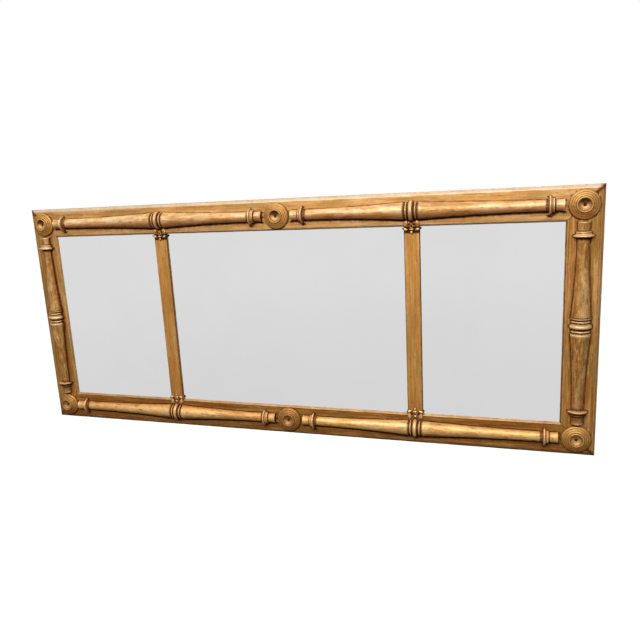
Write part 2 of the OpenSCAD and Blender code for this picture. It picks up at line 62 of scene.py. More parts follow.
# Lengths are in millimetres, as in the part's source, up to the studio. MM turns them into metres
MM = 0.001

FRAME_W, FRAME_H, FRAME_T, RAIL_W = 1480, 610, 30, 77
# The outer bevel is drawn narrower than the solid's 9 by 6, as the photograph shows it
OUTER_BEVEL_W, OUTER_BEVEL_D = 6.8, 5.0
INNER_BEVEL_W, INNER_BEVEL_D = 4, 4
LIP_T, RABBET_IN = 5, 69
MUNTIN_X, MUNTIN_W, MUNTIN_STEM_W, MUNTIN_STEM_D, MUNTIN_CHAMFER = 332, 37.5, 18, 15, 1.5
CORNER_X, LOW_Z, HIGH_Z, MID_Z = 699, 41, 569, 305

# Roundels: the rim, the spigot behind it, the turned rings on a dome, the lip and the cup
ROUNDEL_R, ROUNDEL_H = 31.5, 15
SPIGOT_R, SPIGOT_L = 9.8, 9.5
DOME_LOW, DOME_RISE, DOME_TOP_R = 5.0, 8.0, 17.2
DOME_RINGS = ((31.3, 26.4, 1.2), (26.4, 22.2, 1.1), (22.2, 18.0, 1.1))
CUP_LIP_IN, CUP_LIP_R = 15.3, 2.2
CUP_R, CUP_TAPER, CUP_FLOOR, CUP_RISE = 12.9, 8.4, 8.0, 4.8

# Balusters
RAIL_END_IN, STILE_END_IN = 38.5, 36.5
NECK_L, FLARE_L, FLARE_R = 22, 6, 1.2
RAIL_NECK_R, STILE_NECK_R = 13, 13
COLLAR_R, COLLAR_W, COLLAR_EDGE_R, STEP_W = 22, 8, 2.2, 3
RAIL_SLIM_R, STILE_SLIM_R = 13, 13
RAIL_FULL_R, STILE_FULL_R, SHAFT_EDGE_R = 20.5, 22.25, 2.2
TORUS_R, TORUS_W, RING_W, RING_DROP, GROOVE_W, GROOVE_D = 24, 12, 4, 3.5, 3, 3
BRAD_R, BRAD_IN, BRAD_SINK = 1.05, 12, 1

ORNAMENT_W, ORNAMENT_UP, ORNAMENT_DOWN, ORNAMENT_H = 45, 14.5, 18.5, 4.5

X, Z = 0, 2
WHITE, BLACK = (1, 1, 1), (0, 0, 0)


# Shader and geometry nodes

class Link:
    """What a node gives. Arithmetic on it adds Math nodes."""

    def __init__(self, tree, socket):
        self.tree, self.socket = tree, socket

    def maths(self, operation, *values):
        return self.tree.node("ShaderNodeMath", {"operation": operation}, dict(enumerate(values)))

    def __add__(self, other):
        return self.maths("ADD", self, other)

    __radd__ = __add__

    def __sub__(self, other):
        return self.maths("SUBTRACT", self, other)

    def __rsub__(self, other):
        return self.maths("SUBTRACT", other, self)

    def __mul__(self, other):
        return self.maths("MULTIPLY", self, other)

    __rmul__ = __mul__

    def __truediv__(self, other):
        return self.maths("DIVIDE", self, other)

    def most(self, other):
        return self.maths("MAXIMUM", self, other)

    def held(self):
        return self.maths("MINIMUM", self.most(0.0), 1.0)

    def ease(self, low, high, start=0.0, end=1.0):
        """Runs smoothly from start to end while the number runs from low to high."""
        return self.tree.node("ShaderNodeMapRange", {"interpolation_type": "SMOOTHSTEP"}, {
            "Value": self, "From Min": low, "From Max": high, "To Min": start, "To Max": end})


class Tree:
    """A node tree and the ways to add nodes to it."""

    def __init__(self, tree):
        self.tree = tree

    def node(self, kind, settings=None, inputs=None, output=0):
        made = self.tree.nodes.new(kind)
        for name, value in (settings or {}).items():
            setattr(made, name, value)
        for name, value in (inputs or {}).items():
            if isinstance(value, Link):
                self.tree.links.new(value.socket, made.inputs[name])
            else:
                made.inputs[name].default_value = value
        return Link(self, made.outputs[output])

    def leave(self, kind, name, link):
        """Adds the output node and leads the link into it."""
        self.tree.links.new(link.socket, self.tree.nodes.new(kind).inputs[name])

    def axis(self, vector, axis):
        return self.node("ShaderNodeSeparateXYZ", {}, {"Vector": vector}, output=axis)

    def mix(self, share, first, second, way="MIX"):
        colours = {0: share}
        for slot, colour in ((6, first), (7, second)):
            colours[slot] = colour if isinstance(colour, Link) else (*colour, 1)
        return self.node("ShaderNodeMix", {"data_type": "RGBA", "blend_type": way}, colours, output=2)

    def layered(self, colour, *layers):
        """The colour under layers, each a share and a colour of its own, from the lowest to the highest."""
        for share, layer in layers:
            colour = self.mix(share, colour, layer)
        return colour


class Finish(Tree):
    """A surface finish: one Principled shader whose colour, gloss and relief come from nodes."""

    def __init__(self, name, **constants):
        self.material = bpy.data.materials.new(name)
        self.material.use_nodes = True
        super().__init__(self.material.node_tree)
        self.shader = self.tree.nodes["Principled BSDF"]
        for socket, value in constants.items():
            self.shader.inputs[socket.replace("_", " ")].default_value = value
        self.place = self.node("ShaderNodeTexCoord", output="Object")

    def wear(self, **links):
        for socket, link in links.items():
            self.tree.links.new(link.socket, self.shader.inputs[socket.replace("_", " ")])
        return self.material

    def marks(self, *names):
        return [self.node("ShaderNodeAttribute", {"attribute_name": name}, output="Fac") for name in names]

    def noise(self, scale, detail, roughness, seed):
        spot = self.node("ShaderNodeMapping", {}, {
            "Vector": self.place, "Location": (seed, seed * 1.7, seed * 0.6), "Scale": scale})
        return self.node("ShaderNodeTexNoise", {}, {
            "Vector": spot, "Scale": 1.0, "Detail": detail, "Roughness": roughness})

    def clouds(self, size, detail=3, roughness=0.5, seed=0.0):
        """Even noise whose lumps are about size millimetres."""
        return self.noise((1 / (size * MM),) * 3, detail, roughness, seed)

    def streaks(self, along, length, width, detail=4, roughness=0.6, seed=0.0):
        """Noise drawn out along one axis."""
        scale = [1 / (width * MM)] * 3
        scale[along] = 1 / (length * MM)
        return self.noise(scale, detail, roughness, seed)

    def relief(self, height, depth, strength):
        return self.node("ShaderNodeBump", {}, {
            "Strength": strength, "Distance": depth * MM, "Height": height})


# Finishes

OLIVE = (0.330, 0.205, 0.045)
BOLE = (0.420, 0.125, 0.028)
RUST = (0.200, 0.062, 0.014)
UMBER = (0.034, 0.010, 0.003)
DEEP_STROKE = (0.260, 0.120, 0.030)
WARM_STAIN = (0.400, 0.175, 0.045)
BARE_WOOD = (0.520, 0.345, 0.185)
BARE_DARK = (0.230, 0.130, 0.058)
BARE_RING = (0.33, 0.20, 0.10)


def bare_wood_colour(f, along):
    grain = f.streaks(along, 260, 5, detail=6, seed=3.1)
    rings = f.streaks(along, 500, 16, detail=2, seed=8.4)
    tone = f.mix((grain * 1.6 - 0.3).held(), BARE_DARK, BARE_WOOD)
    return f.mix(rings.ease(0.52, 0.62) * 0.35, tone, BARE_RING), grain


def soiled(f, colour, dirt_and_shade):
    """Thin dirt and painted shade read rusty brown, and thick dirt and painted shade nearly black."""
    return f.layered(colour, (dirt_and_shade.ease(0.0, 0.60) * 0.85, RUST), (dirt_and_shade.ease(0.35, 0.95) * 0.96, UMBER))


def broken_dirt_and_shade(soil, speck):
    """The mark of soil and painted shade, broken up by specks."""
    return (soil * 1.15 + (speck - 0.5) * soil.ease(0.0, 0.3, 0.0, 1.1)).held()


def gilt_flat(name, along, deep, middle, pale, rubbed_and_highlit_leaf, olive=0.6):
    """Old leaf on a planed bar: grain streaks, olive and red patches, rubbed arrises and painted highlights,
    dirt and painted shadow at the feet.
    """
    f = Finish(name, Specular_IOR_Level=0.15)
    grain = f.streaks(along, 120, 3.2, detail=6, roughness=0.66, seed=1.0)
    broad = f.streaks(along, 150, 11, seed=5.0)
    patches = f.streaks(along, 110, 26, seed=2.0)
    strokes = f.streaks(along, 36, 6.5, seed=12.0)
    speck = f.clouds(2.6, detail=4, roughness=0.7, seed=7.0)
    blots = f.clouds(9, detail=4, roughness=0.6, seed=8.0)
    brush = f.streaks(along, 40, 0.9, detail=3, roughness=0.7, seed=4.0)
    soil, worn, bare = f.marks("soil", "worn", "bare")
    rubbed_and_highlit = (worn * (0.35 + speck * 1.1)).held()
    dirt_and_shade = broken_dirt_and_shade(soil, speck)
    colour = f.layered(
        deep,
        (grain.ease(0.36, 0.62), middle),
        (broad.ease(0.48, 0.64) * 0.55, pale),
        (patches.ease(0.50, 0.62) * olive, OLIVE),
        (strokes.ease(0.53, 0.64) * 0.50, deep),
        (strokes.ease(0.43, 0.34) * 0.40, pale),
        (blots.ease(0.56, 0.66) * grain.ease(0.60, 0.44) * 0.60, BOLE),
        (brush.ease(0.60, 0.70) * 0.35, UMBER),
        (rubbed_and_highlit * 0.85, rubbed_and_highlit_leaf))
    colour = soiled(f, colour, dirt_and_shade)
    wood, wood_grain = bare_wood_colour(f, along)
    stripped = (bare * 2.0 - 0.75 + (speck - 0.5) * 1.6).held()
    colour = f.mix(stripped, colour, wood)
    rough = 0.36 + brush * 0.12 + grain * 0.10 + dirt_and_shade * 0.25 + stripped * 0.3 - rubbed_and_highlit * 0.05
    metal = (0.42 - dirt_and_shade * 0.35 - stripped * 0.42).held()
    height = grain * 0.5 + brush * 0.35 + speck * 0.15 + wood_grain * stripped * 0.6
    return f.wear(Base_Color=colour, Roughness=rough, Metallic=metal, Normal=f.relief(height, 0.45, 0.6))


def gilt_turned(name, along, deep, middle, pale, rubbed_and_highlit_leaf, mottling=0.3, depth=1.0,
                shaded_side_tint=(0.980, 0.640, 0.360), rub_and_highlight_share=0.65):
    """Old leaf on turned work: streaked, mottled shafts, with painted light: pale along the lit crest and a
    deeper painted shade beside it.
    """
    f = Finish(name, Specular_IOR_Level=0.15)
    soil, worn, hand, crest, path = f.marks("soil", "worn", "hand", "crest", "path")
    tooling = f.node("ShaderNodeTexNoise", {"noise_dimensions": "1D"}, {
        "W": path * 0.5, "Scale": 1.0, "Detail": 3, "Roughness": 0.6})
    streak = f.streaks(along, 46, 4.0, detail=5, roughness=0.62, seed=1.5)
    strokes = f.streaks(along, 24, 6.0, seed=12.5)
    mottle = f.clouds(8, detail=5, roughness=0.66, seed=3.5)
    fine = f.clouds(3.0, detail=4, roughness=0.65, seed=6.5)
    patches = f.streaks(along, 90, 30, detail=3, seed=9.0)
    stains = f.streaks(along, 120, 22, detail=5, roughness=0.65, seed=15.5)
    colour = f.layered(
        deep,
        ((streak * 0.6 + mottle * 0.4).ease(0.40, 0.58), middle),
        (patches.ease(0.42, 0.64) * 0.65, pale),
        (strokes.ease(0.54, 0.64) * hand * mottling, OLIVE),
        (strokes.ease(0.60, 0.70) * hand * mottling, DEEP_STROKE),
        (strokes.ease(0.42, 0.33) * hand * mottling, pale),
        (fine.ease(0.44, 0.34) * hand * mottling, BOLE),
        (streak.ease(0.62, 0.70) * hand * mottling, RUST),
        (tooling.ease(0.56, 0.70) * 0.30 * (1 - hand), RUST),
        (stains.ease(0.50, 0.66) * hand * 0.60, WARM_STAIN))
    # Painted shade: away from the lit crest the colour is multiplied by the shaded side's tint, as far as
    # depth gives
    colour = f.mix((1 - crest) * depth, colour, shaded_side_tint, "MULTIPLY")
    rubbed_and_highlit = (worn * (0.35 + fine * 0.9)).held()
    # The rubbed colour also paints highlights, and the upright turnings take a larger share of it
    colour = f.mix(rubbed_and_highlit * rub_and_highlight_share, colour, rubbed_and_highlit_leaf)
    dirt_and_shade = broken_dirt_and_shade(soil, fine)
    colour = soiled(f, colour, dirt_and_shade)
    rough = 0.36 + mottle * 0.16 + fine * 0.08 + dirt_and_shade * 0.3 - rubbed_and_highlit * 0.05
    metal = (0.34 - dirt_and_shade * 0.25).held()
    height = fine * (0.25 + hand * 0.6) + mottle * hand * 1.2 + tooling * 0.35 * (1 - hand)
    return f.wear(Base_Color=colour, Roughness=rough, Metallic=metal, Normal=f.relief(height, 0.7, 0.7))


def gilt_cast():
    """Gilt casting: pale relief, rubbed and painted with highlights, over hollows toned dark and painted with
    shade.
    """
    f = Finish("gilt casting", Specular_IOR_Level=0.15)
    soil, worn = f.marks("soil", "worn")
    fine = f.clouds(1.6, detail=4, roughness=0.7, seed=2.5)
    mottle = f.clouds(6, seed=4.5)
    colour = f.layered(
        (0.360, 0.155, 0.032),
        (mottle.ease(0.35, 0.65), (0.600, 0.300, 0.080)),
        ((worn * (0.5 + fine)).held() * 0.95, (0.920, 0.700, 0.400)))
    dirt_and_shade = (soil * 1.3 + (fine - 0.5) * 0.5 * soil).held()
    colour = soiled(f, colour, dirt_and_shade)
    rough = 0.38 + fine * 0.16 + dirt_and_shade * 0.3
    metal = (0.40 - dirt_and_shade * 0.3).held()
    return f.wear(Base_Color=colour, Roughness=rough, Metallic=metal,
                  Normal=f.relief(fine * 0.6 + mottle * 0.4, 0.25, 0.5))


def raw_wood(name, along):
    f = Finish(name, Specular_IOR_Level=0.35)
    colour, grain = bare_wood_colour(f, along)
    stain = f.clouds(70, detail=4, seed=11.0)
    specks = f.clouds(4, roughness=0.7, seed=12.0)
    colour = f.layered(colour, (stain.ease(0.50, 0.78) * 0.35, (0.16, 0.10, 0.055)),
                       (specks.ease(0.64, 0.72) * 0.5, (0.10, 0.06, 0.03)))
    saw = f.streaks((along + 2) % 3, 60, 1.4, detail=2, seed=13.0)
    rough = 0.66 + grain * 0.18 + stain * 0.06
    return f.wear(Base_Color=colour, Roughness=rough, Normal=f.relief(grain * 0.7 + saw * 0.3, 0.4, 0.6))


def silvered_glass():
    """Mirror plate: nearly clean silvering with a faint warm ageing, a soft bloom and a little dust."""
    f = Finish("silvered plate", Metallic=1.0, Roughness=0.0)
    bloom = f.clouds(180, seed=1.0)
    haze = f.clouds(14, detail=4, roughness=0.6, seed=3.0)
    dust = f.clouds(1.2, detail=2, roughness=0.6, seed=5.0)
    colour = f.layered(
        (0.880, 0.882, 0.880),
        (bloom.ease(0.35, 0.7), (0.862, 0.863, 0.862)),
        (haze.ease(0.62, 0.80) * 0.25, (0.820, 0.816, 0.800)),
        (dust.ease(0.68, 0.76) * 0.15, (0.700, 0.695, 0.680)))
    return f.wear(Base_Color=colour)


def metal_finish(name, clean, dull, stain, size):
    f = Finish(name, Specular_IOR_Level=0.5)
    cloud = f.clouds(size, detail=4, roughness=0.6, seed=2.0)
    fine = f.clouds(size / 7, roughness=0.7, seed=4.0)
    scratches = f.streaks(Z, size * 3, size / 14, detail=2, seed=6.0)
    colour = f.layered(clean, (cloud.ease(0.35, 0.65), dull), (fine.ease(0.58, 0.70) * 0.7, stain))
    rough = 0.32 + cloud * 0.22 + fine.ease(0.58, 0.70) * 0.25
    metal = (1.0 - fine.ease(0.60, 0.72) * 0.6).held()
    return f.wear(Base_Color=colour, Roughness=rough, Metallic=metal,
                  Normal=f.relief(fine * 0.6 + scratches * 0.4, 0.12, 0.5))


# Colours run from the deepest leaf over the middle one to the palest, and end with the rubbed one, which also
# paints the highlights
GILT_TOP = gilt_flat(
    "gilt top rail", X, (0.510, 0.236, 0.062), (0.700, 0.370, 0.114), (0.810, 0.515, 0.235),
    (0.740, 0.610, 0.450), olive=0.45)
# The bottom rail's leaf is a much darker copy of the top rail's: painted shade for the lamp's falloff towards
# the bottom
GILT_BOTTOM = gilt_flat(
    "gilt bottom rail", X, (0.220, 0.080, 0.016), (0.460, 0.190, 0.036), (0.660, 0.350, 0.110),
    (0.720, 0.480, 0.245))
GILT_STILE = gilt_flat(
    "gilt stile", Z, (0.330, 0.130, 0.026), (0.600, 0.285, 0.070), (0.760, 0.460, 0.180),
    (0.820, 0.540, 0.260))
GILT_MUNTIN = gilt_flat(
    "gilt muntin", Z, (0.540, 0.230, 0.046), (0.680, 0.325, 0.080), (0.780, 0.450, 0.165),
    (0.780, 0.470, 0.170), olive=0.35)
TURNED_TOP = gilt_turned(
    "gilt turning, top rail", X, (0.620, 0.335, 0.115), (0.860, 0.570, 0.265), (0.950, 0.720, 0.430),
    (0.860, 0.560, 0.290), mottling=0.4, shaded_side_tint=(0.700, 0.450, 0.290))
# The bottom rail's turnings are copies of the top rail's, brighter and more saturated: painted light for how
# the lamp falls on the lower row
TURNED_BOTTOM = gilt_turned(
    "gilt turning, bottom rail", X, (0.780, 0.380, 0.105), (0.980, 0.590, 0.220), (0.980, 0.700, 0.360),
    (0.880, 0.560, 0.270), mottling=0.45, shaded_side_tint=(0.620, 0.490, 0.320))
TURNED_BROWNED = gilt_turned(
    "gilt turning, browned", X, (0.710, 0.325, 0.085), (0.930, 0.530, 0.188), (0.970, 0.660, 0.325),
    (0.870, 0.540, 0.255), mottling=0.55, shaded_side_tint=(0.630, 0.465, 0.290))
TURNED_STILE = gilt_turned(
    "gilt stile turning", Z, (0.270, 0.115, 0.024), (0.620, 0.325, 0.090), (0.860, 0.580, 0.260),
    (0.940, 0.650, 0.340), mottling=1.0, depth=0.8, shaded_side_tint=(0.860, 0.600, 0.350), rub_and_highlight_share=0.95)
TURNED_BOSS = gilt_turned(
    "gilt boss", X, (0.380, 0.155, 0.024), (0.540, 0.270, 0.056), (0.660, 0.370, 0.105),
    (0.820, 0.680, 0.340), depth=0.7)
# Darker copy of the bosses' gilding for the bottom row's left and middle bosses: painted shade
DARKER_BOSS = gilt_turned(
    "gilt boss, browned", X, (0.290, 0.105, 0.015), (0.420, 0.180, 0.034), (0.540, 0.270, 0.068),
    (0.760, 0.590, 0.270), depth=0.6)
GILT_CAST = gilt_cast()
WOOD_LEVEL = raw_wood("bare wood, level grain", X)
WOOD_UPRIGHT = raw_wood("bare wood, upright grain", Z)
PLATE = silvered_glass()
DARK_STEEL = metal_finish("darkened steel", (0.23, 0.22, 0.21), (0.13, 0.12, 0.11), (0.10, 0.045, 0.02), 9)
AGED_BRASS = metal_finish("aged brass", (0.58, 0.43, 0.19), (0.36, 0.25, 0.10), (0.10, 0.07, 0.035), 7)


# Making pieces

# Points closer than this, in metres, are merged
MERGE_WITHIN = 2e-6
CREASE, TURNED_CREASE, CAST_CREASE = 38, 42, 60


def settle(piece, node_names, finish):
    """Gives a finished piece its material, body and the CAD nodes that it stands for."""
    piece.name = piece.data.name = "finished_" + node_names[0]
    piece.data.materials.clear()
    piece.data.materials.append(finish)
    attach(piece, frame_body(node_names[0]))
    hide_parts(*node_names)


def frame_body(node):
    return NODES[node]["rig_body"]


def mesh_object(name, mesh):
    piece = bpy.data.objects.new(name, mesh)
    bpy.context.scene.collection.objects.link(piece)
    return piece


def add_marks(mesh, marks):
    for mark, values in marks.items():
        layer = mesh.attributes.new(mark, "FLOAT", "POINT")
        layer.data.foreach_set("value", np.asarray(values, np.float32))


def vertex_places(mesh):
    """The mesh's points in millimetres, one row each."""
    places = np.zeros(len(mesh.vertices) * 3)
    mesh.vertices.foreach_get("co", places)
    return places.reshape(-1, 3) / MM


def shell(name, points, faces, marks=None, crease=CREASE):
    """Object from points in millimetres, with its doubles merged and its faces turned outwards."""
    mesh = bpy.data.meshes.new(name)
    mesh.from_pydata((np.asarray(points, float) * MM).tolist(), [], faces)
    add_marks(mesh, marks or {})
    return mesh_object(name, closed(mesh, crease))


def closed(mesh, crease):
    work = bmesh.new()
    work.from_mesh(mesh)
    bmesh.ops.remove_doubles(work, verts=work.verts, dist=MERGE_WITHIN)
    bmesh.ops.dissolve_degenerate(work, edges=work.edges, dist=MERGE_WITHIN / 2)
    bmesh.ops.recalc_face_normals(work, faces=work.faces)
    work.to_mesh(mesh)
    work.free()
    mesh.shade_smooth()
    mesh.set_sharp_from_angle(angle=radians(crease))
    return mesh


def baked(piece, crease=CREASE):
    """The piece with its modifiers turned into mesh and taken off."""
    bpy.context.view_layer.update()
    seen = piece.evaluated_get(bpy.context.evaluated_depsgraph_get())
    mesh = bpy.data.meshes.new_from_object(seen)
    name = piece.name
    bpy.data.objects.remove(piece)
    mesh.name = name
    return mesh_object(name, closed(mesh, crease))


# Outlines of the turned work: place along the axis, radius, soil with painted shade, wear with painted
# highlight, hand

# Dark in the grooves and at a level shaft's edge by the torus: partly dirt, partly painted shade
GROOVE_SOIL_AND_SHADE, LEVEL_EDGE_SOIL_AND_SHADE = 0.60, 0.38
SHAFT_STEP = 2.6
# How far the painted shade and the painted highlight run along a shaft from its edge by the torus
SHAFT_PAINTED_LIGHT = {"level": (0, 0), "upper": (4.0, 0), "lower": (0, 5.0)}


def shares(steps):
    """Even shares of a run, from one step to the whole."""
    return [step / steps for step in range(1, steps + 1)]


def arc_rows(middle, radius_in, radius, start, end, steps, soil=0.0, worn=0.0):
    """Bead: its middle on the axis, the radius at which its centre lies, its own radius, and its turn."""
    rows = []
    for step in range(steps + 1):
        turn = radians(start + (end - start) * step / steps)
        high = cos(turn)
        # A bead's flanks, turned away from its crest, darken as painted shade, and its crest takes the rub
        flank_soil_and_shade = soil * GROOVE_SOIL_AND_SHADE * min(1, max(0, 0.95 - high) * 2.4)
        rows.append((middle + radius * sin(turn), radius_in + radius * high,
                     flank_soil_and_shade, worn * max(0, high * 1.6 - 0.6), 0.0))
    return rows


def half_baluster(length, neck_r, slim_r, full_r, side):
    """Outline from the middle torus to the tip of the neck. On upright work each side of the torus has its
    own painted light: the upper shaft starts with a painted shaded edge, and the lower one with a painted
    highlit edge."""
    torus_c = TORUS_R - TORUS_W / 2
    thin_r = TORUS_R - RING_DROP
    groove_r = thin_r - GROOVE_D
    ring_at = TORUS_W / 2 + GROOVE_W
    shaft_at = ring_at + RING_W + GROOVE_W
    shaft_end = length - NECK_L - COLLAR_W - 2 * STEP_W
    collar_at = shaft_end + STEP_W
    neck_at = length - NECK_L

    # Torus, groove, thin ring and groove
    # On the upper half the groove is painted paler, as lit from above, and on upright work the torus and thin
    # ring take a fuller rub with painted highlight
    inner = 0.35 if side == "upper" else GROOVE_SOIL_AND_SHADE
    torus_rub_and_highlight, thin_rub_and_highlight = (0.55, 0.3) if side == "level" else (1.0, 0.9)
    rows = arc_rows(0, torus_c + 0.2, TORUS_W / 2 - 0.3, 0, 86, 10, soil=1.0, worn=torus_rub_and_highlight)
    rows += [(TORUS_W / 2 - 0.1, groove_r + 0.2, inner, 0, 0), (TORUS_W / 2 + 0.5, groove_r, inner, 0, 0),
             (ring_at - 0.5, groove_r, inner, 0, 0)]
    rows += arc_rows(ring_at + RING_W / 2, thin_r - RING_W / 2 + 0.2, RING_W / 2 - 0.2, -84, 84, 8,
                     soil=0.9, worn=thin_rub_and_highlight)
    rows += [(ring_at + RING_W + 0.6, groove_r, GROOVE_SOIL_AND_SHADE, 0, 0),
             (shaft_at - 0.5, groove_r, GROOVE_SOIL_AND_SHADE, 0, 0)]

    # Shaft
    edge = arc_rows(shaft_at + SHAFT_EDGE_R, full_r - SHAFT_EDGE_R, SHAFT_EDGE_R, -86, 0, 7,
                    soil=1.0, worn=1.0)
    if side == "level":
        edge = [(at, radius, max(soil, LEVEL_EDGE_SOIL_AND_SHADE), 0, 0) for at, radius, soil, *_ in edge]
    rows += edge
    shaft_l = shaft_end - shaft_at - SHAFT_EDGE_R
    shaded_l, highlit_l = SHAFT_PAINTED_LIGHT[side]
    for along in shares(int(shaft_l / SHAFT_STEP)):
        ends = min(1, along * shaft_l / 7, (1 - along) * shaft_l / 9)
        soil = 0.75 * max(0, 1 - (1 - along) * shaft_l / 7) ** 1.5
        soil = max(soil, GROOVE_SOIL_AND_SHADE * (along * shaft_l < shaded_l))
        worn = max(0, 1 - along * shaft_l / highlit_l) if highlit_l else 0
        radius = slim_r + (full_r - slim_r) * (1 - along) ** 2
        rows.append((shaft_at + SHAFT_EDGE_R + shaft_l * along, radius, soil, worn, ends))
    rows += [(shaft_end + 0.5, slim_r, 0.35, 0, 0), (shaft_end + 1.6, slim_r + 0.1, 0.5, 0, 0)]

    # Collar, with the bell that falls from it to a small bead; its wall towards the shaft is painted dark as
    # its shadow, and its rim takes the rub with a painted highlight
    rows += [(collar_at + 0.4, slim_r + 0.6, 0.55, 0, 0), (collar_at + 0.8, slim_r + 2.0, 0.45, 0, 0),
             (collar_at + 0.9, COLLAR_R - 2.6, 0.35, 0, 0)]
    rows += arc_rows(collar_at + 3.1, COLLAR_R - COLLAR_EDGE_R, COLLAR_EDGE_R, -80, 62, 10,
                     soil=0.5, worn=1.0)
    bell_at, bell_r = rows[-1][:2]
    bead_at = collar_at + COLLAR_W + STEP_W * 0.3
    for along in shares(6):
        radius = bell_r + (neck_r + 3.2 - bell_r) * (1 - (1 - along) ** 2.2)
        soil = max(0.55 * (1 - along) ** 2, 0.25 * along ** 3)
        rows.append((bell_at + (bead_at - bell_at) * along, radius, soil, 0.5 * along, 0))
    rows.append((bead_at + 0.3, neck_r + 2.9, 0.7, 0, 0))
    for step in range(7):
        turn = radians(-75 + 150 * step / 6)
        rows.append((bead_at + 1.9 + 1.6 * sin(turn), neck_r + 1.9 + 1.5 * cos(turn), 0.4 * (1 - cos(turn)),
                     0.6 * cos(turn), 0))

    # Neck, with the flare at its tip
    rows += [(bead_at + 3.7, neck_r + 0.6, 0.8, 0, 0), (neck_at + 2.6, neck_r, 0.7, 0, 0.1)]
    for along in shares(6):
        rows.append((neck_at + 3 + (NECK_L - FLARE_L - 3) * along, neck_r, 0.2 * (1 - along), 0.05, 0.5))
    for along in shares(4):
        rows.append((length - FLARE_L + (FLARE_L - FLARE_R) * along, neck_r + FLARE_R * along ** 1.6,
                     0, 0.5 * along, 0.3))
    rows += [(length - 0.5, neck_r + FLARE_R * 0.7, 0.1, 0.6, 0), (length - 0.05, neck_r - 0.2, 0.4, 0.2, 0),
             (length, neck_r - 1.0, 0.7, 0, 0), (length, 0, 0.6, 0, 0)]
    return rows


def baluster_rows(down_l, up_l, neck_r, slim_r, full_r, sides=("level", "level")):
    down = [(-along, *rest) for along, *rest in half_baluster(down_l, neck_r, slim_r, full_r, sides[0])]
    up = half_baluster(up_l, neck_r, slim_r, full_r, sides[1])
    return down[::-1] + up[1:]


def paint_light_from_above(rows, half):
    """Upright work, painted light from above: what faces up gets a painted highlight and what faces down a
    painted shade, the low neck and collar are painted darker, and the lower shaft darkens towards its end.
    """
    result = []
    low_disc = NECK_L + 2 * STEP_W + 3 - half
    for i, (along, radius, soil, worn, hand) in enumerate(rows):
        before, after = rows[max(i - 1, 0)], rows[min(i + 1, len(rows) - 1)]
        up = -(after[1] - before[1]) / max(hypot(after[0] - before[0], after[1] - before[1]), 0.01)
        steep = max(0, abs(up) - 0.15) * (1 - hand)
        if up > 0:
            soil, worn = soil * (1 - 0.8 * steep), worn + 0.9 * steep
        else:
            soil, worn = soil + 0.7 * steep, worn * (1 - steep)
        if hand > 0.2:
            soil = max(soil, 0.05 + 0.26 * max(0, -along / half - 0.15))
        if along < low_disc:
            soil, worn = max(soil, 0.62 - 0.30 * (low_disc - along) / NECK_L), worn * 0.3
        result.append((along, radius, min(1, soil), min(1, worn), hand))
    return result


def roundel_rows():
    """Outline from the spigot's end, over the rim, the turned rings and the lip, to the pit in the cup."""
    # The spigot, the rim's foot, the rings' hollows, the cup and its pit are painted darker: dirt together
    # with painted shade
    rows = [(-SPIGOT_L, 0, 0.6, 0, 0), (-SPIGOT_L, SPIGOT_R, 0.6, 0, 0), (-0.05, SPIGOT_R, 0.6, 0, 0),
            (0, ROUNDEL_R - 0.5, 0.5, 0, 0), (0.6, ROUNDEL_R, 0.42, 0, 0), (2.8, ROUNDEL_R, 0.25, 0, 0),
            (3.6, ROUNDEL_R - 0.15, 0.1, 0.2, 0)]
    for outer, inner, rise in DOME_RINGS:
        for step in range(11):
            turn = pi * step / 10
            radius = (outer + inner) / 2 + (outer - inner) / 2 * cos(turn)
            dome = DOME_LOW + DOME_RISE * ((ROUNDEL_R - radius) / (ROUNDEL_R - DOME_TOP_R)) ** 0.85
            most_soil_and_shade = 0.52 if radius < 30 else 0.15
            rows.append((dome - 1.0 + rise * sin(turn) ** 0.6, radius, most_soil_and_shade * (1 - sin(turn)) ** 0.9,
                         0.22 * sin(turn) ** 2, 0.3))
    for step in range(11):
        turn = radians(-72 + 146 * step / 10)
        rows.append((ROUNDEL_H - CUP_LIP_R + CUP_LIP_R * cos(turn), CUP_LIP_IN - CUP_LIP_R * sin(turn),
                     0.5 * max(0, 1 - cos(turn)), 0.4 * max(0, cos(turn)), 0.2))
    for step in range(11):
        along = step / 10
        rows.append((CUP_FLOOR + CUP_RISE * (1 - along) ** 1.7, CUP_R - CUP_TAPER * along,
                     0.12 + 0.25 * (1 - along) ** 3, 0, 0.2))
    rows += [(7.9, 4.1, 0.3, 0, 0.2), (7.6, 3.5, 0.55, 0, 0), (6.9, 2.8, 0.75, 0, 0), (6.3, 2.0, 0.75, 0, 0),
             (6.0, 1.0, 0.7, 0, 0), (6.0, 0, 0.7, 0, 0)]
    return rows


def outline_object(name, rows):
    """Loose points (radius, 0, place along the axis) that the turning tree reads, with their marks."""
    mesh = bpy.data.meshes.new(name)
    mesh.from_pydata([(r * MM, 0, a * MM) for a, r, *_ in rows], [], [])
    path = np.cumsum([0] + [hypot(b[0] - a[0], b[1] - a[1]) for a, b in zip(rows, rows[1:])])
    soil, worn, hand = list(zip(*rows))[2:]
    add_marks(mesh, {"soil": soil, "worn": worn, "hand": hand, "path": path})
    return mesh_object(name, mesh)


# How dark the dirt and painted shadow are at the foot of a split turning, and the scale of a turning's
# unevenness
FOOT_SOIL_AND_SHADE, LUMP_SIZE = 0.66, 95.0


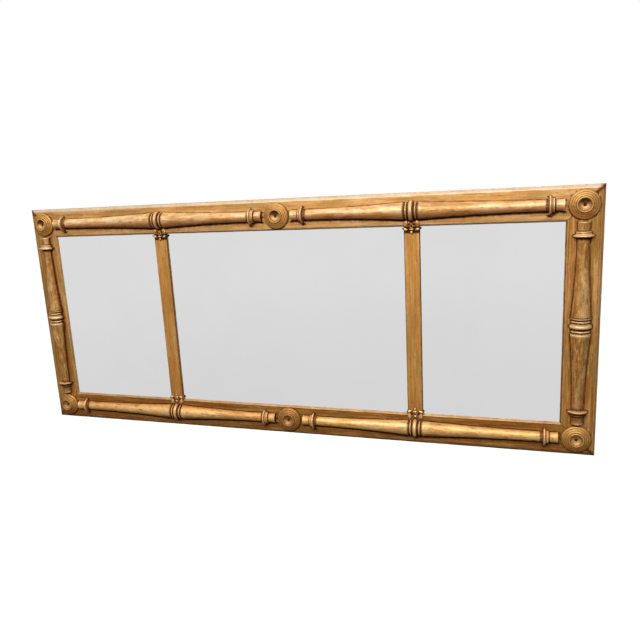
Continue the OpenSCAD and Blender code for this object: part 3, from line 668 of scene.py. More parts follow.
def turning_tree():
    """Geometry nodes that turn an outline about an axis, whole or as a split half with a flat back."""
    group = bpy.data.node_groups.new("turned work", "GeometryNodeTree")
    inputs = (("Outline", "Object"), ("Rows", "Int"), ("Sides", "Int"), ("Turn", "Float"),
              ("Flat Back", "Float"), ("Lump Size", "Float"), ("Lump Depth", "Float"), ("Seed", "Float"),
              ("Foot Start", "Float"), ("Foot End", "Float"), ("Crest", "Float"), ("Crest Low", "Float"),
              ("Middle", "Vector"), ("Lie", "Rotation"), ("Finish", "Material"))
    for name, kind in inputs:
        group.interface.new_socket(name, in_out="INPUT", socket_type="NodeSocket" + kind)
    group.interface.new_socket("Geometry", in_out="OUTPUT", socket_type="NodeSocketGeometry")
    t = Tree(group)
    entry = group.nodes.new("NodeGroupInput")
    given = {name: Link(t, entry.outputs[name]) for name, _ in inputs}
    outline = t.node("GeometryNodeObjectInfo", {}, {"Object": given["Outline"]}, output="Geometry")
    columns = given["Sides"] + 1
    sheet = t.node("GeometryNodeMeshGrid", {}, {
        "Size X": 1.0, "Size Y": 1.0, "Vertices X": given["Rows"], "Vertices Y": columns})
    index = t.node("GeometryNodeInputIndex")
    row = index.maths("FLOOR", (index + 0.5) / columns)
    column = index - row * columns

    def sampled(kind, value):
        return t.node("GeometryNodeSampleIndex", {"data_type": kind, "domain": "POINT"}, {
            "Geometry": outline, "Value": value, "Index": row})

    spot = sampled("FLOAT_VECTOR", t.node("GeometryNodeInputPosition"))
    radius, along = t.axis(spot, "X"), t.axis(spot, "Z")
    marks = {}
    for mark in ("soil", "worn", "hand", "path"):
        marks[mark] = sampled("FLOAT", t.node("GeometryNodeInputNamedAttribute", {"data_type": "FLOAT"},
                                              {"Name": mark}))
    last = column.maths("GREATER_THAN", column, given["Sides"] - 0.5)
    turn = column / (given["Sides"] - given["Flat Back"]) * given["Turn"] * (1 - last * given["Flat Back"])

    def foot(gap, reach):
        return gap.ease(reach * 1.2, reach * 0.3)

    # Dirt and painted shadow along the foot on each side of a split turning; the rows make one side's far
    # wider, as the turning's own shade
    feet = foot(turn, given["Foot Start"]).most(foot(given["Turn"] - turn, given["Foot End"]))
    marks["soil"] = marks["soil"].most(feet * given["Flat Back"] * FOOT_SOIL_AND_SHADE)
    # Painted light: the lit crest is the side of the turning that faces the lamp, and the finish tints the
    # rest as painted shade
    facing = turn.maths("COSINE", turn - given["Crest"])
    marks["crest"] = ((facing - given["Crest Low"]) / (1 - given["Crest Low"])).held()
    across = turn.maths("COSINE", turn)
    out = turn.maths("SINE", turn)
    spot_at = t.node("ShaderNodeCombineXYZ", {}, {
        "X": across * radius, "Y": out * radius, "Z": along * 0.3 + given["Seed"]})
    lumps = t.node("ShaderNodeTexNoise", {}, {
        "Vector": spot_at, "Scale": given["Lump Size"], "Detail": 2.0, "Roughness": 0.5})
    eased = radius - lumps * given["Lump Depth"] * marks["hand"]
    placed = t.node("ShaderNodeCombineXYZ", {}, {"X": across * eased, "Y": out * eased * -1, "Z": along})
    shaped = t.node("GeometryNodeSetPosition", {}, {"Geometry": sheet, "Position": placed})
    for mark, value in marks.items():
        shaped = t.node("GeometryNodeStoreNamedAttribute", {"data_type": "FLOAT", "domain": "POINT"}, {
            "Geometry": shaped, "Name": mark, "Value": value})
    merged = t.node("GeometryNodeMergeByDistance", {}, {"Geometry": shaped, "Distance": MERGE_WITHIN})
    moved = t.node("GeometryNodeTransform", {}, {
        "Geometry": merged, "Translation": given["Middle"], "Rotation": given["Lie"]})
    plain = t.node("GeometryNodeRealizeInstances", {}, {"Geometry": moved})
    finished = t.node("GeometryNodeSetMaterial", {}, {"Geometry": plain, "Material": given["Finish"]})
    t.leave("NodeGroupOutput", "Geometry", finished)
    return group


TURNED_WORK = turning_tree()
# How far the drill stands out of the work
DRILL_OUT = 3


def turned(name, rows, middle, lie, half, sides, lump_depth, seed, finish, crest, lit_crest_low, foot=(0.2, 0.2)):
    outline = outline_object(name + " outline", rows)
    piece = mesh_object(name, bpy.data.meshes.new(name))
    lathe = piece.modifiers.new("lathe", "NODES")
    lathe.node_group = TURNED_WORK
    values = {"Outline": outline, "Rows": len(rows), "Sides": sides, "Turn": pi if half else 2 * pi,
              "Flat Back": 1.0 if half else 0.0, "Lump Size": LUMP_SIZE, "Lump Depth": lump_depth * MM,
              "Seed": seed, "Foot Start": foot[0], "Foot End": foot[1],
              "Crest": radians(crest), "Crest Low": lit_crest_low,
              "Middle": [v * MM for v in middle], "Lie": [radians(v) for v in lie], "Finish": finish}
    for item in TURNED_WORK.interface.items_tree:
        if item.in_out == "INPUT":
            lathe[item.identifier] = values[item.name]
    piece = baked(piece, crease=TURNED_CREASE)
    bpy.data.objects.remove(outline)
    return piece


def drilled(piece, holes):
    """The piece with a shallow brad hole sunk at each place, driven along +Y."""
    work = bmesh.new()
    for x, y, z in holes:
        made = bmesh.ops.create_cone(work, cap_ends=True, segments=20, radius1=BRAD_R * MM,
                                     radius2=BRAD_R * MM, depth=(BRAD_SINK + DRILL_OUT) * MM)
        turn = Euler((pi / 2, 0, 0)).to_matrix()
        middle = Vector((x, y + (BRAD_SINK - DRILL_OUT) / 2, z)) * MM
        for vert in made["verts"]:
            vert.co = turn @ vert.co + middle
    mesh = bpy.data.meshes.new("drill")
    work.to_mesh(mesh)
    work.free()
    add_marks(mesh, {"soil": np.ones(len(mesh.vertices))})
    drill = mesh_object("drill", mesh)
    cutter = piece.modifiers.new("brad holes", "BOOLEAN")
    cutter.operation, cutter.solver, cutter.object = "DIFFERENCE", "EXACT", drill
    piece = baked(piece, crease=TURNED_CREASE)
    bpy.data.objects.remove(drill)
    return piece


# Where turned pieces meet the flats, for the painted shadow beside them
footprints = {"level": [], "upright": [], "boss": []}


def note_footprint(group, rows, middle):
    for along, radius, *_ in rows:
        for side in (-1, 1):
            across = side * radius
            x, z = (along, across) if group == "level" else (across, along)
            footprints[group].append((middle[0] + x, middle[2] + z))


def paint_cup_shading(piece, x, z, row_name):
    """Painted shade on the upper wall of a boss's cup and a painted highlight on its lower wall, both
    stronger on the top row.
    """
    mesh = piece.data
    spots = vertex_places(mesh)
    across, up = spots[:, 0] - x, spots[:, 2] - z
    reach = np.hypot(across, up)
    wall_in, wall_out, fade = 3.4, 13.6, 1.2
    inside = np.clip((wall_out - reach) / fade, 0, 1) * np.clip((reach - wall_in) / fade, 0, 1)
    facing = up / np.maximum(reach, 0.1)
    cup_shade, rubbed_and_highlit = (0.62, 0.75) if row_name == "top" else (0.20, 0.65)
    for name, share in (("soil", inside * cup_shade * np.clip(facing * 1.3 + 0.1, 0, 1)),
                        ("worn", inside * rubbed_and_highlit * np.clip(0.55 - facing, 0, 1))):
        values = np.zeros(len(mesh.vertices), np.float32)
        mesh.attributes[name].data.foreach_get("value", values)
        mesh.attributes[name].data.foreach_set("value", np.maximum(values, share).astype(np.float32))


def make_roundels():
    rows = roundel_rows()
    for row_name, z in (("top", HIGH_Z), ("bottom", LOW_Z)):
        for place, x in (("left", -CORNER_X), ("middle", 0), ("right", CORNER_X)):
            node = f"roundel_{row_name}_{place}"
            # Each boss is tinted away from its lit crest as painted shade, and the bottom row's left and
            # middle bosses take a darker copy of the gilding as painted shade
            finish = DARKER_BOSS if row_name == "bottom" and place != "right" else TURNED_BOSS
            piece = turned(node.replace("_", " "), rows, (x, -FRAME_T, z), (90, 0, 0), half=False, sides=96,
                           lump_depth=0.15, seed=x * 0.013 + z, finish=finish, crest=270, lit_crest_low=-0.9)
            paint_cup_shading(piece, x, z, row_name)
            settle(piece, [node], finish)
            for step in range(72):
                turn = 2 * pi * step / 72
                footprints["boss"].append((x + ROUNDEL_R * cos(turn), z + ROUNDEL_R * sin(turn)))


def make_balusters():
    rail_down = MUNTIN_X - RAIL_END_IN
    rail_up = CORNER_X - RAIL_END_IN - MUNTIN_X
    rows = baluster_rows(rail_down, rail_up, RAIL_NECK_R, RAIL_SLIM_R, RAIL_FULL_R)
    brad_y = -FRAME_T - RAIL_NECK_R
    # Painted light on each row: the lit crest's angle, how far its painted shade reaches, and the narrow
    # foot's width; the other foot takes a wide painted shadow
    for row_name, z, finishes, crest, lit_crest_low, foot in (
            ("top", HIGH_Z, (TURNED_TOP, TURNED_TOP), 58, 0.0, 0.12),
            ("bottom", LOW_Z, (TURNED_BROWNED, TURNED_BOTTOM), 2, 0.25, 0.30)):
        for place, side, finish in zip(("left", "right"), (-1, 1), finishes):
            node = f"baluster_{row_name}_{place}"
            middle = (side * MUNTIN_X, -FRAME_T, z)
            piece = turned(node.replace("_", " "), rows, middle, (0, side * 90, 0), half=True, sides=48,
                           lump_depth=0.55, seed=side * 3.1 + z * 0.01, finish=finish,
                           crest=90 + side * crest, lit_crest_low=lit_crest_low, foot=(0.66, foot)[::side])
            ends = [side * (RAIL_END_IN + BRAD_IN), side * (CORNER_X - RAIL_END_IN - BRAD_IN)]
            piece = drilled(piece, [(x, brad_y, z) for x in ends])
            settle(piece, [node], finish)
            note_footprint("level", [(side * a, *rest) for a, *rest in rows], middle)
    half = MID_Z - LOW_Z - STILE_END_IN
    rows = baluster_rows(half, half, STILE_NECK_R, STILE_SLIM_R, STILE_FULL_R, ("lower", "upper"))
    rows = paint_light_from_above(rows, half)
    brad_y = -FRAME_T - STILE_NECK_R
    # The upright turnings turn their lit crests towards the lamp, and their feet carry painted shadow, wider
    # on one side than the other
    for place, side, crest, foot in (("left", -1, 95, (0.50, 0.24)), ("right", 1, 69, (0.36, 0.46))):
        node = f"baluster_{place}"
        middle = (side * CORNER_X, -FRAME_T, MID_Z)
        piece = turned(node.replace("_", " "), rows, middle, (0, 0, 0), half=True, sides=52, lump_depth=0.90,
                       seed=side * 5.7, finish=TURNED_STILE, crest=crest, lit_crest_low=-0.05, foot=foot)
        ends = [LOW_Z + STILE_END_IN + BRAD_IN, HIGH_Z - STILE_END_IN - BRAD_IN]
        piece = drilled(piece, [(side * CORNER_X, brad_y, z) for z in ends])
        settle(piece, [node], TURNED_STILE)
        note_footprint("upright", rows, middle)


# Bars

# A straight side of a section that is shorter than this gets no points between its ends
SHORT_RUN = 2.6
# Waves that make an uneven line: how much, how quick, and how far each is shifted
RIPPLES = ((0.22, 0.061, 1), (0.16, 0.173, 2.3), (0.12, 0.437, 4.1))
STATION_STEP, MITRE_STEPS, MITRE_CLEAR, NOTCH_WALL = 3, 8, 3, 1e-4
# Where a bar's section counts as its outer side, as its front, and as its back
OUTER_U, FRONT_V, BACK_V = 20, 12, 3
# The raw wood: the back's edges, and a narrow strip of the rabbet's wall
RAW_V, RAW_STRIP = 4, 1.5

# Painted shadow on the bars beside what stands on them, longest below the level turnings and the bosses: how
# far it reaches and how dark it gets
BELOW_TURNING, ABOVE_TURNING = (4.6, 0.92), (1.4, 0.34)
RIGHT_OF_TURNING, LEFT_OF_TURNING = (3.0, 0.56), (2.0, 0.42)
BELOW_BOSS, ABOVE_BOSS = (2.6, 0.62), (1.4, 0.34)
# Painted shadow on the whole strip of the flat under the level turnings
STRIP_SHADE_TOP, STRIP_SHADE_BOTTOM = 0.20, 0.36


def eased_outline(corners, spacing):
    """Closed outline through corners (u, v, ease). Gives rows (u, v, arris), each corner eased inwards."""
    rows = []
    count = len(corners)
    for i in range(count):
        u, v, ease = corners[i]
        here = np.array((u, v), float)
        before = np.array(corners[i - 1][:2], float) - here
        after = np.array(corners[(i + 1) % count][:2], float) - here
        start = here + before / np.linalg.norm(before) * ease
        end = here + after / np.linalg.norm(after) * ease
        steps = 5 if ease else 0
        for step in range(steps + 1):
            t = step / max(steps, 1)
            spot = (1 - t) ** 2 * start + 2 * t * (1 - t) * here + t * t * end
            rows.append((*spot, 1.0 if ease else 0.0))
        next_ease = corners[(i + 1) % count][2]
        goal = here + after - after / np.linalg.norm(after) * next_ease
        run = np.linalg.norm(goal - end)
        if run >= SHORT_RUN:
            near, far = 1.0 / run, 1 - 1.0 / run
            between = np.linspace(near, far, max(2, int(run / spacing) + 1))[1:-1]
            rows += [(*(end + (goal - end) * t), 0.0) for t in (near, *between, far)]
    return np.array(rows)


def ripple(s, phase):
    """Slow uneven wave between 0 and 1, for hand-worked arrises."""
    wave = 0.5
    for share, pace, shift in RIPPLES:
        wave = wave + share * np.sin(s * pace + shift * phase)
    return wave


def spot_tree(spots):
    tree = KDTree(len(spots))
    for i, (x, z) in enumerate(spots):
        tree.insert((x, 0, z), i)
    tree.balance()
    return tree


def near_shade(gap, reach, most):
    """Painted shadow that thins out with the gap from what stands on the bar."""
    return min(most, max(0, 1.35 - gap / reach))


def swept_faces(rows, count):
    """Faces of a bar swept through rows of count points, with both its ends closed."""
    faces = []
    for row in range(rows - 1):
        for j in range(count):
            k = (j + 1) % count
            faces.append((row * count + j, row * count + k, (row + 1) * count + k, (row + 1) * count + j))
    faces.append(tuple(range(count)))
    faces.append(tuple((rows - 1) * count + j for j in range(count)))
    return faces


def frame_bar(name, node, half, slots, put, group, finish, phase, edges):
    """Mitred bar of the frame. Outline: u from the outer edge inwards, v from the back to the front.

    edges gives the soil and painted shade, and the rub and painted highlight, of the outer bevel, of the flat
    beside it, of the flat beside the sight edge and of the sight bevel.
    """
    bevel_u, bevel_v = RAIL_W - INNER_BEVEL_W, FRAME_T - OUTER_BEVEL_D
    lip_v = FRAME_T - LIP_T
    outline = eased_outline([
        (0, 0, 0.8), (0, bevel_v, 1.6), (OUTER_BEVEL_W, FRAME_T, 1.3), (bevel_u, FRAME_T, 0.9),
        (RAIL_W, FRAME_T - INNER_BEVEL_D, 0.5), (RAIL_W, lip_v, 0.3), (RABBET_IN, lip_v, 0),
        (RABBET_IN, 0, 0.7)], 1.6)
    count = len(outline)
    u0, v0, arris = outline.T

    # Stations along the bar, with the notches for the muntins, and then towards the mitres
    straight = half - RAIL_W - MITRE_CLEAR
    plain = np.linspace(-straight, straight, int(2 * straight / STATION_STEP) + 1)
    stations = [(s, any(a < s < b for a, b in slots)) for s in plain]
    for a, b in slots:
        stations += [(a, False), (a + NOTCH_WALL, True), (b - NOTCH_WALL, True), (b, False)]
    stations.sort()
    notched_u = np.where(u0 > RABBET_IN, RABBET_IN, u0)
    rows = [(np.full(count, s), notched_u if notched else u0) for s, notched in stations]
    for k in range(1, MITRE_STEPS + 1):
        reach = straight + (half - u0 - straight) * k / MITRE_STEPS
        rows.append((reach, u0))
        rows.insert(0, (-reach, u0))

    # The four edges that have their own soil and painted shade, and their own rub and painted highlight
    front_face = v0 > bevel_v + 0.3
    zones = (front_face & (u0 < OUTER_BEVEL_W - 0.4),
             front_face & (u0 >= OUTER_BEVEL_W) & (u0 < OUTER_BEVEL_W + 2.6),
             (v0 > FRAME_T - 0.1) & (u0 > bevel_u - 2.8) & (u0 <= bevel_u),
             (u0 > bevel_u + 0.2) & (v0 > lip_v))
    edge_soil_and_shade = sum(zone * share for zone, (share, _) in zip(zones, edges))
    edge_wear_and_highlight = sum(zone * share for zone, (_, share) in zip(zones, edges))
    raw = (v0 < RAW_V) | ((u0 <= RABBET_IN + 0.1) & (u0 >= RABBET_IN - RAW_STRIP) & (v0 < lip_v))
    tree, bosses = spot_tree(footprints[group]), spot_tree(footprints["boss"])
    points, soil, worn = [], [], []
    for s, u in rows:
        nibble = arris * 0.45 * ripple(s, phase) ** 2
        u_in = np.where(u0 < OUTER_U, np.minimum(u + nibble, RAIL_W),
                        np.maximum(u - nibble * (u > RABBET_IN), 0))
        v_in = np.where(v0 > BACK_V, v0 - nibble * 0.6, v0 + nibble * 0.3)
        for j in range(count):
            x, y, z = put(s[j], u_in[j], v_in[j])
            points.append((x, y, z))
            if v0[j] <= FRONT_V:
                soil.append(0)
                worn.append(0)
                continue
            foot, _, gap = tree.find((x, 0, z))
            boss, _, boss_gap = bosses.find((x, 0, z))
            strip = 0
            if group == "upright":
                reach, most = RIGHT_OF_TURNING if x > foot.x else LEFT_OF_TURNING
            elif z < foot.z:
                reach, most = BELOW_TURNING
                if v0[j] > FRAME_T - 0.1:
                    strip = STRIP_SHADE_TOP if z > MID_Z else STRIP_SHADE_BOTTOM
            else:
                reach, most = ABOVE_TURNING
            boss_reach, boss_most = BELOW_BOSS if z < boss.z else ABOVE_BOSS
            seam = abs((half - u[j]) - abs(s[j]))
            uneven = 0.72 + 0.42 * ripple(s[j] * 2.3, phase + 1.3)
            # Painted shadow beside the turnings and bosses, dark mitre seams, darker outer sides, and each
            # edge's own soil and painted shade
            soil.append(max(uneven * near_shade(gap, reach, most),
                            uneven * (strip * min(1, max(0, 1.7 - gap / 11))),
                            uneven * near_shade(boss_gap, boss_reach, boss_most),
                            0.7 * np.exp(-seam / 0.5),
                            0.35 * (v0[j] < FRAME_T - 7),
                            edge_soil_and_shade[j] * (0.6 + 0.6 * ripple(s[j] * 1.7, phase + 2))))
            rub_and_highlight = max(arris[j] * 0.6 * (edge_soil_and_shade[j] < 0.3), edge_wear_and_highlight[j])
            worn.append(rub_and_highlight * (0.6 + 0.5 * ripple(s[j], phase + 1)))
    marks = {"soil": soil, "worn": worn, "bare": np.tile(raw, len(rows))}
    piece = shell(name, points, swept_faces(len(rows), count), marks)
    settle(piece, [node], finish)


def make_frame():
    slots = [(side * MUNTIN_X - MUNTIN_W / 2, side * MUNTIN_X + MUNTIN_W / 2) for side in (-1, 1)]
    half_w, half_h = FRAME_W / 2, FRAME_H / 2
    # The bevels carry painted light: the top rail's outer bevel and the bottom rail's sight bevel, facing up,
    # take a painted highlight; the bottom rail's outer bevel, the top rail's sight bevel and the right
    # stile's sight bevel take a painted shade
    frame_bar("top rail", "top_rail", half_w, slots, lambda s, u, v: (s, -v, FRAME_H - u), "level",
              GILT_TOP, 0.7, ((0, 1.0), (0.16, 0), (0.1, 0), (0.3, 0.2)))
    frame_bar("bottom rail", "bottom_rail", half_w, slots, lambda s, u, v: (s, -v, u), "level",
              GILT_BOTTOM, 2.9, ((0.16, 0), (0.3, 0), (0.45, 0), (0.22, 0.85)))
    frame_bar("left stile", "left_stile", half_h, [], lambda s, u, v: (u - half_w, -v, half_h + s), "upright",
              GILT_STILE, 4.4, ((0.1, 0.1), (0.3, 0), (0.1, 0), (0.2, 0.2)))
    frame_bar("right stile", "right_stile", half_h, [], lambda s, u, v: (half_w - u, -v, half_h + s),
              "upright", GILT_STILE, 5.6, ((0.1, 0.1), (0.3, 0), (0.15, 0), (0.4, 0)))


def make_muntin(place, side):
    face, stem = MUNTIN_W / 2, MUNTIN_STEM_W / 2
    lip_v, back_v = FRAME_T - LIP_T, FRAME_T - LIP_T - MUNTIN_STEM_D
    outline = eased_outline([
        (-face, FRAME_T - MUNTIN_CHAMFER, 0.7), (MUNTIN_CHAMFER - face, FRAME_T, 0.7),
        (face - MUNTIN_CHAMFER, FRAME_T, 0.7), (face, FRAME_T - MUNTIN_CHAMFER, 0.7), (face, lip_v, 0.4),
        (stem, lip_v, 0), (stem, back_v, 0.6), (-stem, back_v, 0.6), (-stem, lip_v, 0),
        (-face, lip_v, 0.4)], 2.0)
    stations = np.linspace(RABBET_IN, FRAME_H - RABBET_IN, 170)
    points, soil, bare = [], [], []
    for z in stations:
        from_top, from_foot = FRAME_H - RAIL_W - z, z - RAIL_W
        # Painted shadow at the top end under the rail's torus and ornament, and a painted shade that darkens
        # towards the foot; dark lines run along both edges of the face
        end_shade = max(min(1.0, max(0, (17 - from_top) / 4)), min(0.35, max(0, (13 - from_foot) / 8)),
                       0.22 * max(0, 1 - from_foot / 90))
        wave = ripple(z, side * 3.3)
        for across, v, arris in outline:
            inwards = arris * 0.3 * wave
            points.append((side * MUNTIN_X + across - np.sign(across) * inwards, -(v - inwards * 0.5), z))
            front = v > lip_v + 0.5
            side_line = 0.55 if abs(across) > face - 1.6 else 0.0
            soil.append(max(end_shade, side_line) if front else 0.3)
            bare.append(0.0 if front else 1.0)
    marks = {"soil": soil, "worn": np.zeros(len(points)), "bare": bare}
    piece = shell(f"{place} muntin", points, swept_faces(len(stations), len(outline)), marks)
    settle(piece, [f"{place}_muntin"], GILT_MUNTIN)


# Ornaments: local x across, y towards the rail, z out of the plane, origin on the sight edge

LEAF_EDGE_H, VOXEL = 1.2, 0.32


def leaf_shell(start, end, width, height, bend=0.0, vein=0.35):
    """Points and faces of a leaf on the plane, with a dome, a sunk vein and a bent spine."""
    start, end = np.array(start, float), np.array(end, float)
    run = end - start
    side = np.array((-run[1], run[0])) / np.linalg.norm(run)
    long_steps, wide_steps = 26, 18
    top = []
    for i in range(long_steps + 1):
        t = i / long_steps
        full = sin(pi * t) ** 0.75 if 0 < t < 1 else 0.0
        spine = start + run * t + side * bend * sin(pi * t)
        for j in range(wide_steps + 1):
            s = 2 * j / wide_steps - 1
            x, y = spine + side * s * full * width / 2
            dome = (full ** 0.7) * max(0, 1 - s * s) ** 0.55
            sunk = vein * np.exp(-(s / 0.13) ** 2) * full + 0.12 * vein * cos(14 * t + 5 * abs(s)) * full
            top.append((x, y, LEAF_EDGE_H + (height - LEAF_EDGE_H) * dome - sunk))
    count = len(top)
    points = top + [(x, y, 0.0) for x, y, _ in top]
    wide = wide_steps + 1
    faces = []
    for i in range(long_steps):
        for j in range(wide_steps):
            a = i * wide + j
            faces.append((a, a + 1, a + wide + 1, a + wide))
            faces.append((count + a, count + a + wide, count + a + wide + 1, count + a + 1))
    rim = [i * wide for i in range(long_steps + 1)]
    rim += [long_steps * wide + j for j in range(1, wide)]
    rim += [i * wide + wide_steps for i in range(long_steps - 1, -1, -1)]
    rim += [j for j in range(wide_steps - 1, 0, -1)]
    for a, b in zip(rim, rim[1:] + rim[:1]):
        faces.append((a, b, count + b, count + a))
    return points, faces


def ring_shell(x, y, outer, wire, lift):
    """Closed ring of round wire, its lower side sunk into the web."""
    points, faces = [], []
    around, through = 40, 14
    for i in range(around):
        turn = 2 * pi * i / around
        for j in range(through):
            roll = 2 * pi * j / through
            reach = outer - wire / 2 + wire / 2 * cos(roll)
            points.append((x + reach * cos(turn), y + reach * sin(turn), lift + wire / 2 * sin(roll)))
            a, b = (i + 1) % around, (j + 1) % through
            faces.append((i * through + j, a * through + j, a * through + b, i * through + b))
    return points, faces


def slab_shell(low, high):
    (x0, y0, z0), (x1, y1, z1) = low, high
    points = [(x, y, z) for x in (x0, x1) for y in (y0, y1) for z in (z0, z1)]
    return points, [(0, 1, 3, 2), (4, 6, 7, 5), (0, 4, 5, 1), (2, 3, 7, 6), (0, 2, 6, 4), (1, 5, 7, 3)]


def knob_shell(x, y, radius, height):
    points, faces = [(x, y, height)], []
    rings, around = 6, 20
    for ring in range(1, rings + 1):
        dip = pi / 2 * ring / rings
        for i in range(around):
            turn = 2 * pi * i / around
            points.append((x + radius * sin(dip) * cos(turn), y + radius * sin(dip) * sin(turn),
                           height * cos(dip)))
    for i in range(around):
        j = (i + 1) % around
        faces.append((0, 1 + i, 1 + j))
        for ring in range(rings - 1):
            a, b = 1 + ring * around, 1 + (ring + 1) * around
            faces.append((a + i, b + i, b + j, a + j))
    faces.append(tuple(1 + (rings - 1) * around + i for i in range(around)))
    return points, faces


def ornament_mesh():
    """The ornament in its own plane: prongs, petals, eye, bar, loop and tip, fused into one casting."""
    parts = [ring_shell(0, 1.0, 4.75, 2.4, 2.0), knob_shell(0, 6.0, 3.4, 4.3),
             knob_shell(0, -12.8, 4.2, 3.9), leaf_shell((0, -13.5), (0, -ORNAMENT_DOWN), 5.2, 3.2),
             leaf_shell((-6.5, -6.0), (6.5, -6.0), 4.4, 4.5, vein=0.0),
             slab_shell((-11.5, -2.5, 0), (11.5, 2.5, 1.2)), slab_shell((-1.6, -13, 0), (1.6, 0, 1.0))]
    for side in (-1, 1):
        parts.append(leaf_shell((side * 14.5, -1.6), (side * 11.5, ORNAMENT_UP), 10.6, 4.3, bend=-side * 0.8,
                                vein=0.7))
        parts.append(leaf_shell((side * 6.0, -0.5), (side * 20.5, 0.6), 3.4, 2.4, bend=side * 0.5, vein=0.2))
        parts.append(leaf_shell((side * 7.4, -8.2), (side * 22.0, -3.2), 7.4, ORNAMENT_H, vein=0.15))
        parts.append(knob_shell(side * 9.8, 7.6, 1.3, 3.6))
    points, faces = [], []
    for more, sides in parts:
        base = len(points)
        points += more
        faces += [tuple(base + i for i in face) for face in sides]
    rough = shell("ornament rough", points, faces)
    fuse = rough.modifiers.new("fuse", "REMESH")
    fuse.mode, fuse.voxel_size, fuse.adaptivity = "VOXEL", VOXEL * MM, 0.0
    soften = rough.modifiers.new("soften", "SMOOTH")
    soften.factor, soften.iterations = 0.5, 3
    return baked(rough, crease=CAST_CREASE)


def make_ornaments():
    pattern = ornament_mesh()
    flat = vertex_places(pattern.data)
    flat[:, 2] = np.clip(flat[:, 2], 0, ORNAMENT_H)
    flat[:, 0] = np.clip(flat[:, 0], -ORNAMENT_W / 2, ORNAMENT_W / 2)
    faces = [tuple(face.vertices) for face in pattern.data.polygons]
    height = flat[:, 2]
    across, along = np.abs(flat[:, 0]), flat[:, 1]

    def near(x, y, reach_x, reach_y):
        return np.exp(-((across - x) / reach_x) ** 2 - ((along - y) / reach_y) ** 2)

    # Painted light on the castings: the low ground is painted dark as shade, on the top ones mostly below the
    # eye and on the bottom ones beside the petals, and the raised petals, bar, tip and prongs get a painted
    # highlight, with a bright knob on the bottom ones
    low = np.clip(1 - (height - 1.8) / 1.3, 0, 1)
    hole = low * near(0, 1.0, 3.0, 3.0)
    outside = np.clip((across - 17.0) / 2.0, 0, 1) * (along < 0)
    crest = np.clip((height - 2.8) / 0.9, 0, 1)
    rubbed_and_highlit = crest * (near(14.6, -5.8, 3.0, 2.0) + near(0, -6.0, 5.0, 1.6) + 0.7 * near(0, -12.6, 2.2, 1.6)
                      + 0.4 * near(11.4, 13.0, 2.5, 2.5))
    shade_and_toning = {1: np.maximum.reduce([low * np.where(along < 0.5, 1.0, 0.3), hole, 0.9 * outside]),
             -1: np.maximum.reduce([low * near(8.8, -1.0, 4.0, 4.0), hole, 0.5 * outside, 0.25 * low])}
    rub_and_highlight = {1: rubbed_and_highlit, -1: rubbed_and_highlit * 0.8 + crest * (0.45 + near(0, 6.0, 3.4, 3.4))}
    bpy.data.objects.remove(pattern)
    for row_name, level in (("top", 1), ("bottom", -1)):
        for place, side in (("left", -1), ("right", 1)):
            edge_z = FRAME_H - RAIL_W if level > 0 else RAIL_W
            points = np.stack([side * MUNTIN_X + flat[:, 0], -FRAME_T - flat[:, 2],
                               edge_z + level * flat[:, 1]], axis=1)
            soil, worn = np.clip(shade_and_toning[level], 0, 1), np.clip(rub_and_highlight[level], 0, 1)
            piece = shell(f"ornament {row_name} {place}", points, faces, {"soil": soil, "worn": worn},
                          CAST_CREASE)
            settle(piece, [f"ornament_{row_name}_{place}"], GILT_CAST)


# Pieces that keep the CAD shape

def dressed(node, finish, ease):
    """Copy of a CAD node with its triangles joined and its edges eased."""
    mesh = NODES[node].data.copy()
    mesh.name = node.replace("_", " ")
    if "custom_normal" in mesh.attributes:
        mesh.attributes.remove(mesh.attributes["custom_normal"])
    work = bmesh.new()
    work.from_mesh(mesh)
    bmesh.ops.remove_doubles(work, verts=work.verts, dist=MERGE_WITHIN)
    bmesh.ops.dissolve_limit(work, angle_limit=radians(1.5), verts=work.verts, edges=work.edges)
    work.to_mesh(mesh)
    work.free()
    mesh.shade_smooth()
    piece = mesh_object(mesh.name, mesh)
    if ease:
        bevel = piece.modifiers.new("eased edges", "BEVEL")
        bevel.width, bevel.segments = ease * MM, 2
        bevel.limit_method, bevel.angle_limit = "ANGLE", radians(40)
        bevel.use_clamp_overlap = True
    settle(baked(piece), [node], finish)


def make_hardware():
    for place in ("left", "right"):
        dressed(f"{place}_hanger_strap", AGED_BRASS, 0.35)
        dressed(f"{place}_hanger_ring", AGED_BRASS, 0)
    dressed("hanger_screws", AGED_BRASS, 0.15)
    dressed("glazing_points", DARK_STEEL, 0.12)
    dressed("baluster_brads", DARK_STEEL, 0)


def make_boards():
    for place in ("left", "middle", "right"):
        dressed(f"{place}_backboard", WOOD_LEVEL if place == "middle" else WOOD_UPRIGHT, 0.6)
        for slot in NODES[f"{place}_plate"].material_slots:
            slot.material = PLATE
    for level in ("top", "bottom"):
        for place in ("left", "right"):
            for slot in NODES[f"corner_tongue_{level}_{place}"].material_slots:
                slot.material = WOOD_LEVEL


# Studio

# Lengths are in metres here
FLOOR_Z, FLOOR_HALF = -1.1, 12
CAMERA_PLACE, CAMERA_TURN = (0.5732, -1.4648, 0.6351), (77.8017, 2.9547, 17.6731)
CAMERA_LENS, SENSOR_W = 34.870, 36
# Place, aim, width, height, watts
LAMPS = {"key": ((0.15, -1.95, 1.70), (0.05, 0, 0.3), 2.4, 0.3, 64),
         "rear": ((0.6, 2.6, 1.8), (0, 0, 0.3), 2.0, 1.4, 40)}


def cleared(owner):
    """The empty node tree of a material or world."""
    owner.use_nodes = True
    owner.node_tree.nodes.clear()
    return Tree(owner.node_tree)


def ray_kinds(t):
    """Three shares: 1 for a ray from the camera, for a glossy reflection and for a sharp one, or else 0."""
    kinds = ("Camera", "Glossy", "Singular")
    return [t.node("ShaderNodeLightPath", output=f"Is {kind} Ray") for kind in kinds]


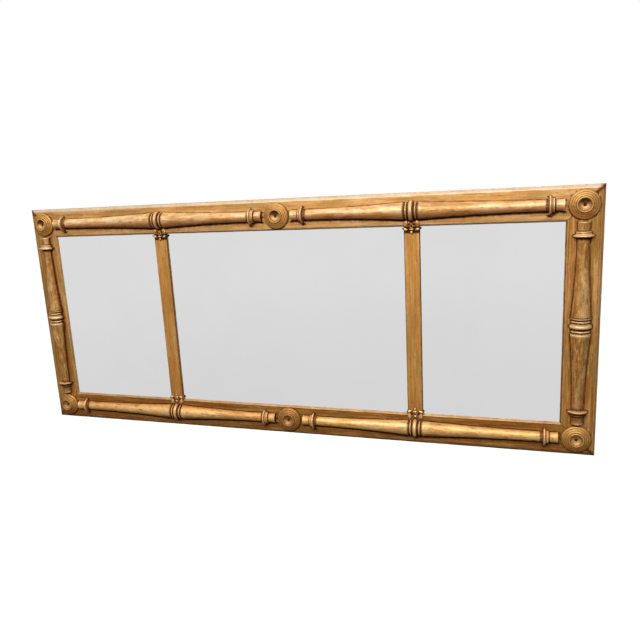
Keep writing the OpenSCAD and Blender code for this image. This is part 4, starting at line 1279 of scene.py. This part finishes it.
def make_floor():
    """Pale floor well below the hung mirror. The camera sees it white, with the mirror's soft shadow."""
    mesh = bpy.data.meshes.new("floor")
    corners = [(x * FLOOR_HALF, y * FLOOR_HALF, FLOOR_Z) for x, y in ((-1, -1), (1, -1), (1, 1), (-1, 1))]
    mesh.from_pydata(corners, [], [(0, 1, 2, 3)])
    floor = mesh_object("floor", mesh)
    material = bpy.data.materials.new("pale floor")
    t = cleared(material)
    place = t.node("ShaderNodeTexCoord", output="Object")
    distance = t.node("ShaderNodeVectorMath", {"operation": "LENGTH"}, {0: place}, output="Value")
    sideways = t.axis(place, "X")
    camera, glossy, sharp = ray_kinds(t)
    grain = t.node("ShaderNodeTexNoise", {}, {"Vector": place, "Scale": 3.0, "Detail": 3.0})
    shade = t.mix(camera * (0.97 + grain * 0.06), (0.14, 0.135, 0.13), (0.9, 0.9, 0.9))
    lit = t.node("ShaderNodeBsdfDiffuse", {}, {"Color": shade})
    white = t.node("ShaderNodeEmission", {}, {"Color": (*WHITE, 1), "Strength": 1.28})
    sharp_level = distance.ease(2.0, 11.0, 0.755, 0.815)
    soft_level = distance.ease(1.6, 8.0, 0.03, 0.36) * sideways.ease(-3.5, -0.5, 0.15, 1.0)
    reflected = t.mix(sharp * sharp_level + (1 - sharp) * soft_level, BLACK, WHITE)
    pale = t.node("ShaderNodeEmission", {}, {"Color": reflected, "Strength": 1.0})
    mirrored = t.node("ShaderNodeMixShader", {}, {0: glossy, 1: lit, 2: pale})
    shown = t.node("ShaderNodeMixShader", {}, {0: camera * 0.76, 1: mirrored, 2: white})
    t.leave("ShaderNodeOutputMaterial", "Surface", shown)
    mesh.materials.append(material)


def make_world():
    """White for the camera. In reflections a pale wall ahead, bright above, and dark elsewhere."""
    world = bpy.data.worlds.new("studio")
    bpy.context.scene.world = world
    t = cleared(world)
    direction = t.node("ShaderNodeTexCoord", output="Generated")
    x, y, z = [t.axis(direction, axis) for axis in "XYZ"]
    camera, glossy, sharp = ray_kinds(t)
    ahead = (y * -1).ease(0.15, 0.60) * x.ease(0.45, 0.80, 1.0, 0.2) * 0.42
    above = z.ease(0.25, 0.70) * x.ease(0.50, 0.95, 0.95, 0.5)
    soft_level = ahead.most(above).most(0.05)
    sharp_level = z.ease(-0.1, 0.5, 0.815, 0.86)
    reflected = t.mix(sharp * sharp_level + (1 - sharp) * soft_level, BLACK, WHITE)
    fill = t.mix(z.ease(-0.2, 1.0, 0.02, 0.44), BLACK, (1.0, 0.92, 0.80))
    shown = t.mix(camera, t.mix(glossy, fill, reflected), WHITE)
    t.leave("ShaderNodeOutputWorld", "Surface",
            t.node("ShaderNodeBackground", {}, {"Color": shown, "Strength": 1.0}))


def make_lamp(name, place, aim, width, height, watts):
    lamp = bpy.data.lights.new(name, "AREA")
    lamp.shape, lamp.size, lamp.size_y, lamp.energy = "RECTANGLE", width, height, watts
    holder = bpy.data.objects.new(name, lamp)
    bpy.context.scene.collection.objects.link(holder)
    holder.location = place
    holder.rotation_euler = (Vector(aim) - Vector(place)).to_track_quat("-Z", "Y").to_euler()


def make_camera():
    data = bpy.data.cameras.new("camera")
    data.sensor_width, data.lens = SENSOR_W, CAMERA_LENS
    data.clip_start, data.clip_end = 0.05, 60
    camera = bpy.data.objects.new("camera", data)
    bpy.context.scene.collection.objects.link(camera)
    camera.location = CAMERA_PLACE
    camera.rotation_euler = [radians(turn) for turn in CAMERA_TURN]
    bpy.context.scene.camera = camera


make_roundels()
make_balusters()
make_frame()
make_muntin("left", -1)
make_muntin("right", 1)
make_ornaments()
make_hardware()
make_boards()
make_floor()
make_world()
for lamp_name, lamp in LAMPS.items():
    make_lamp(lamp_name, *lamp)
make_camera()
bpy.context.scene.view_settings.view_transform = "Standard"
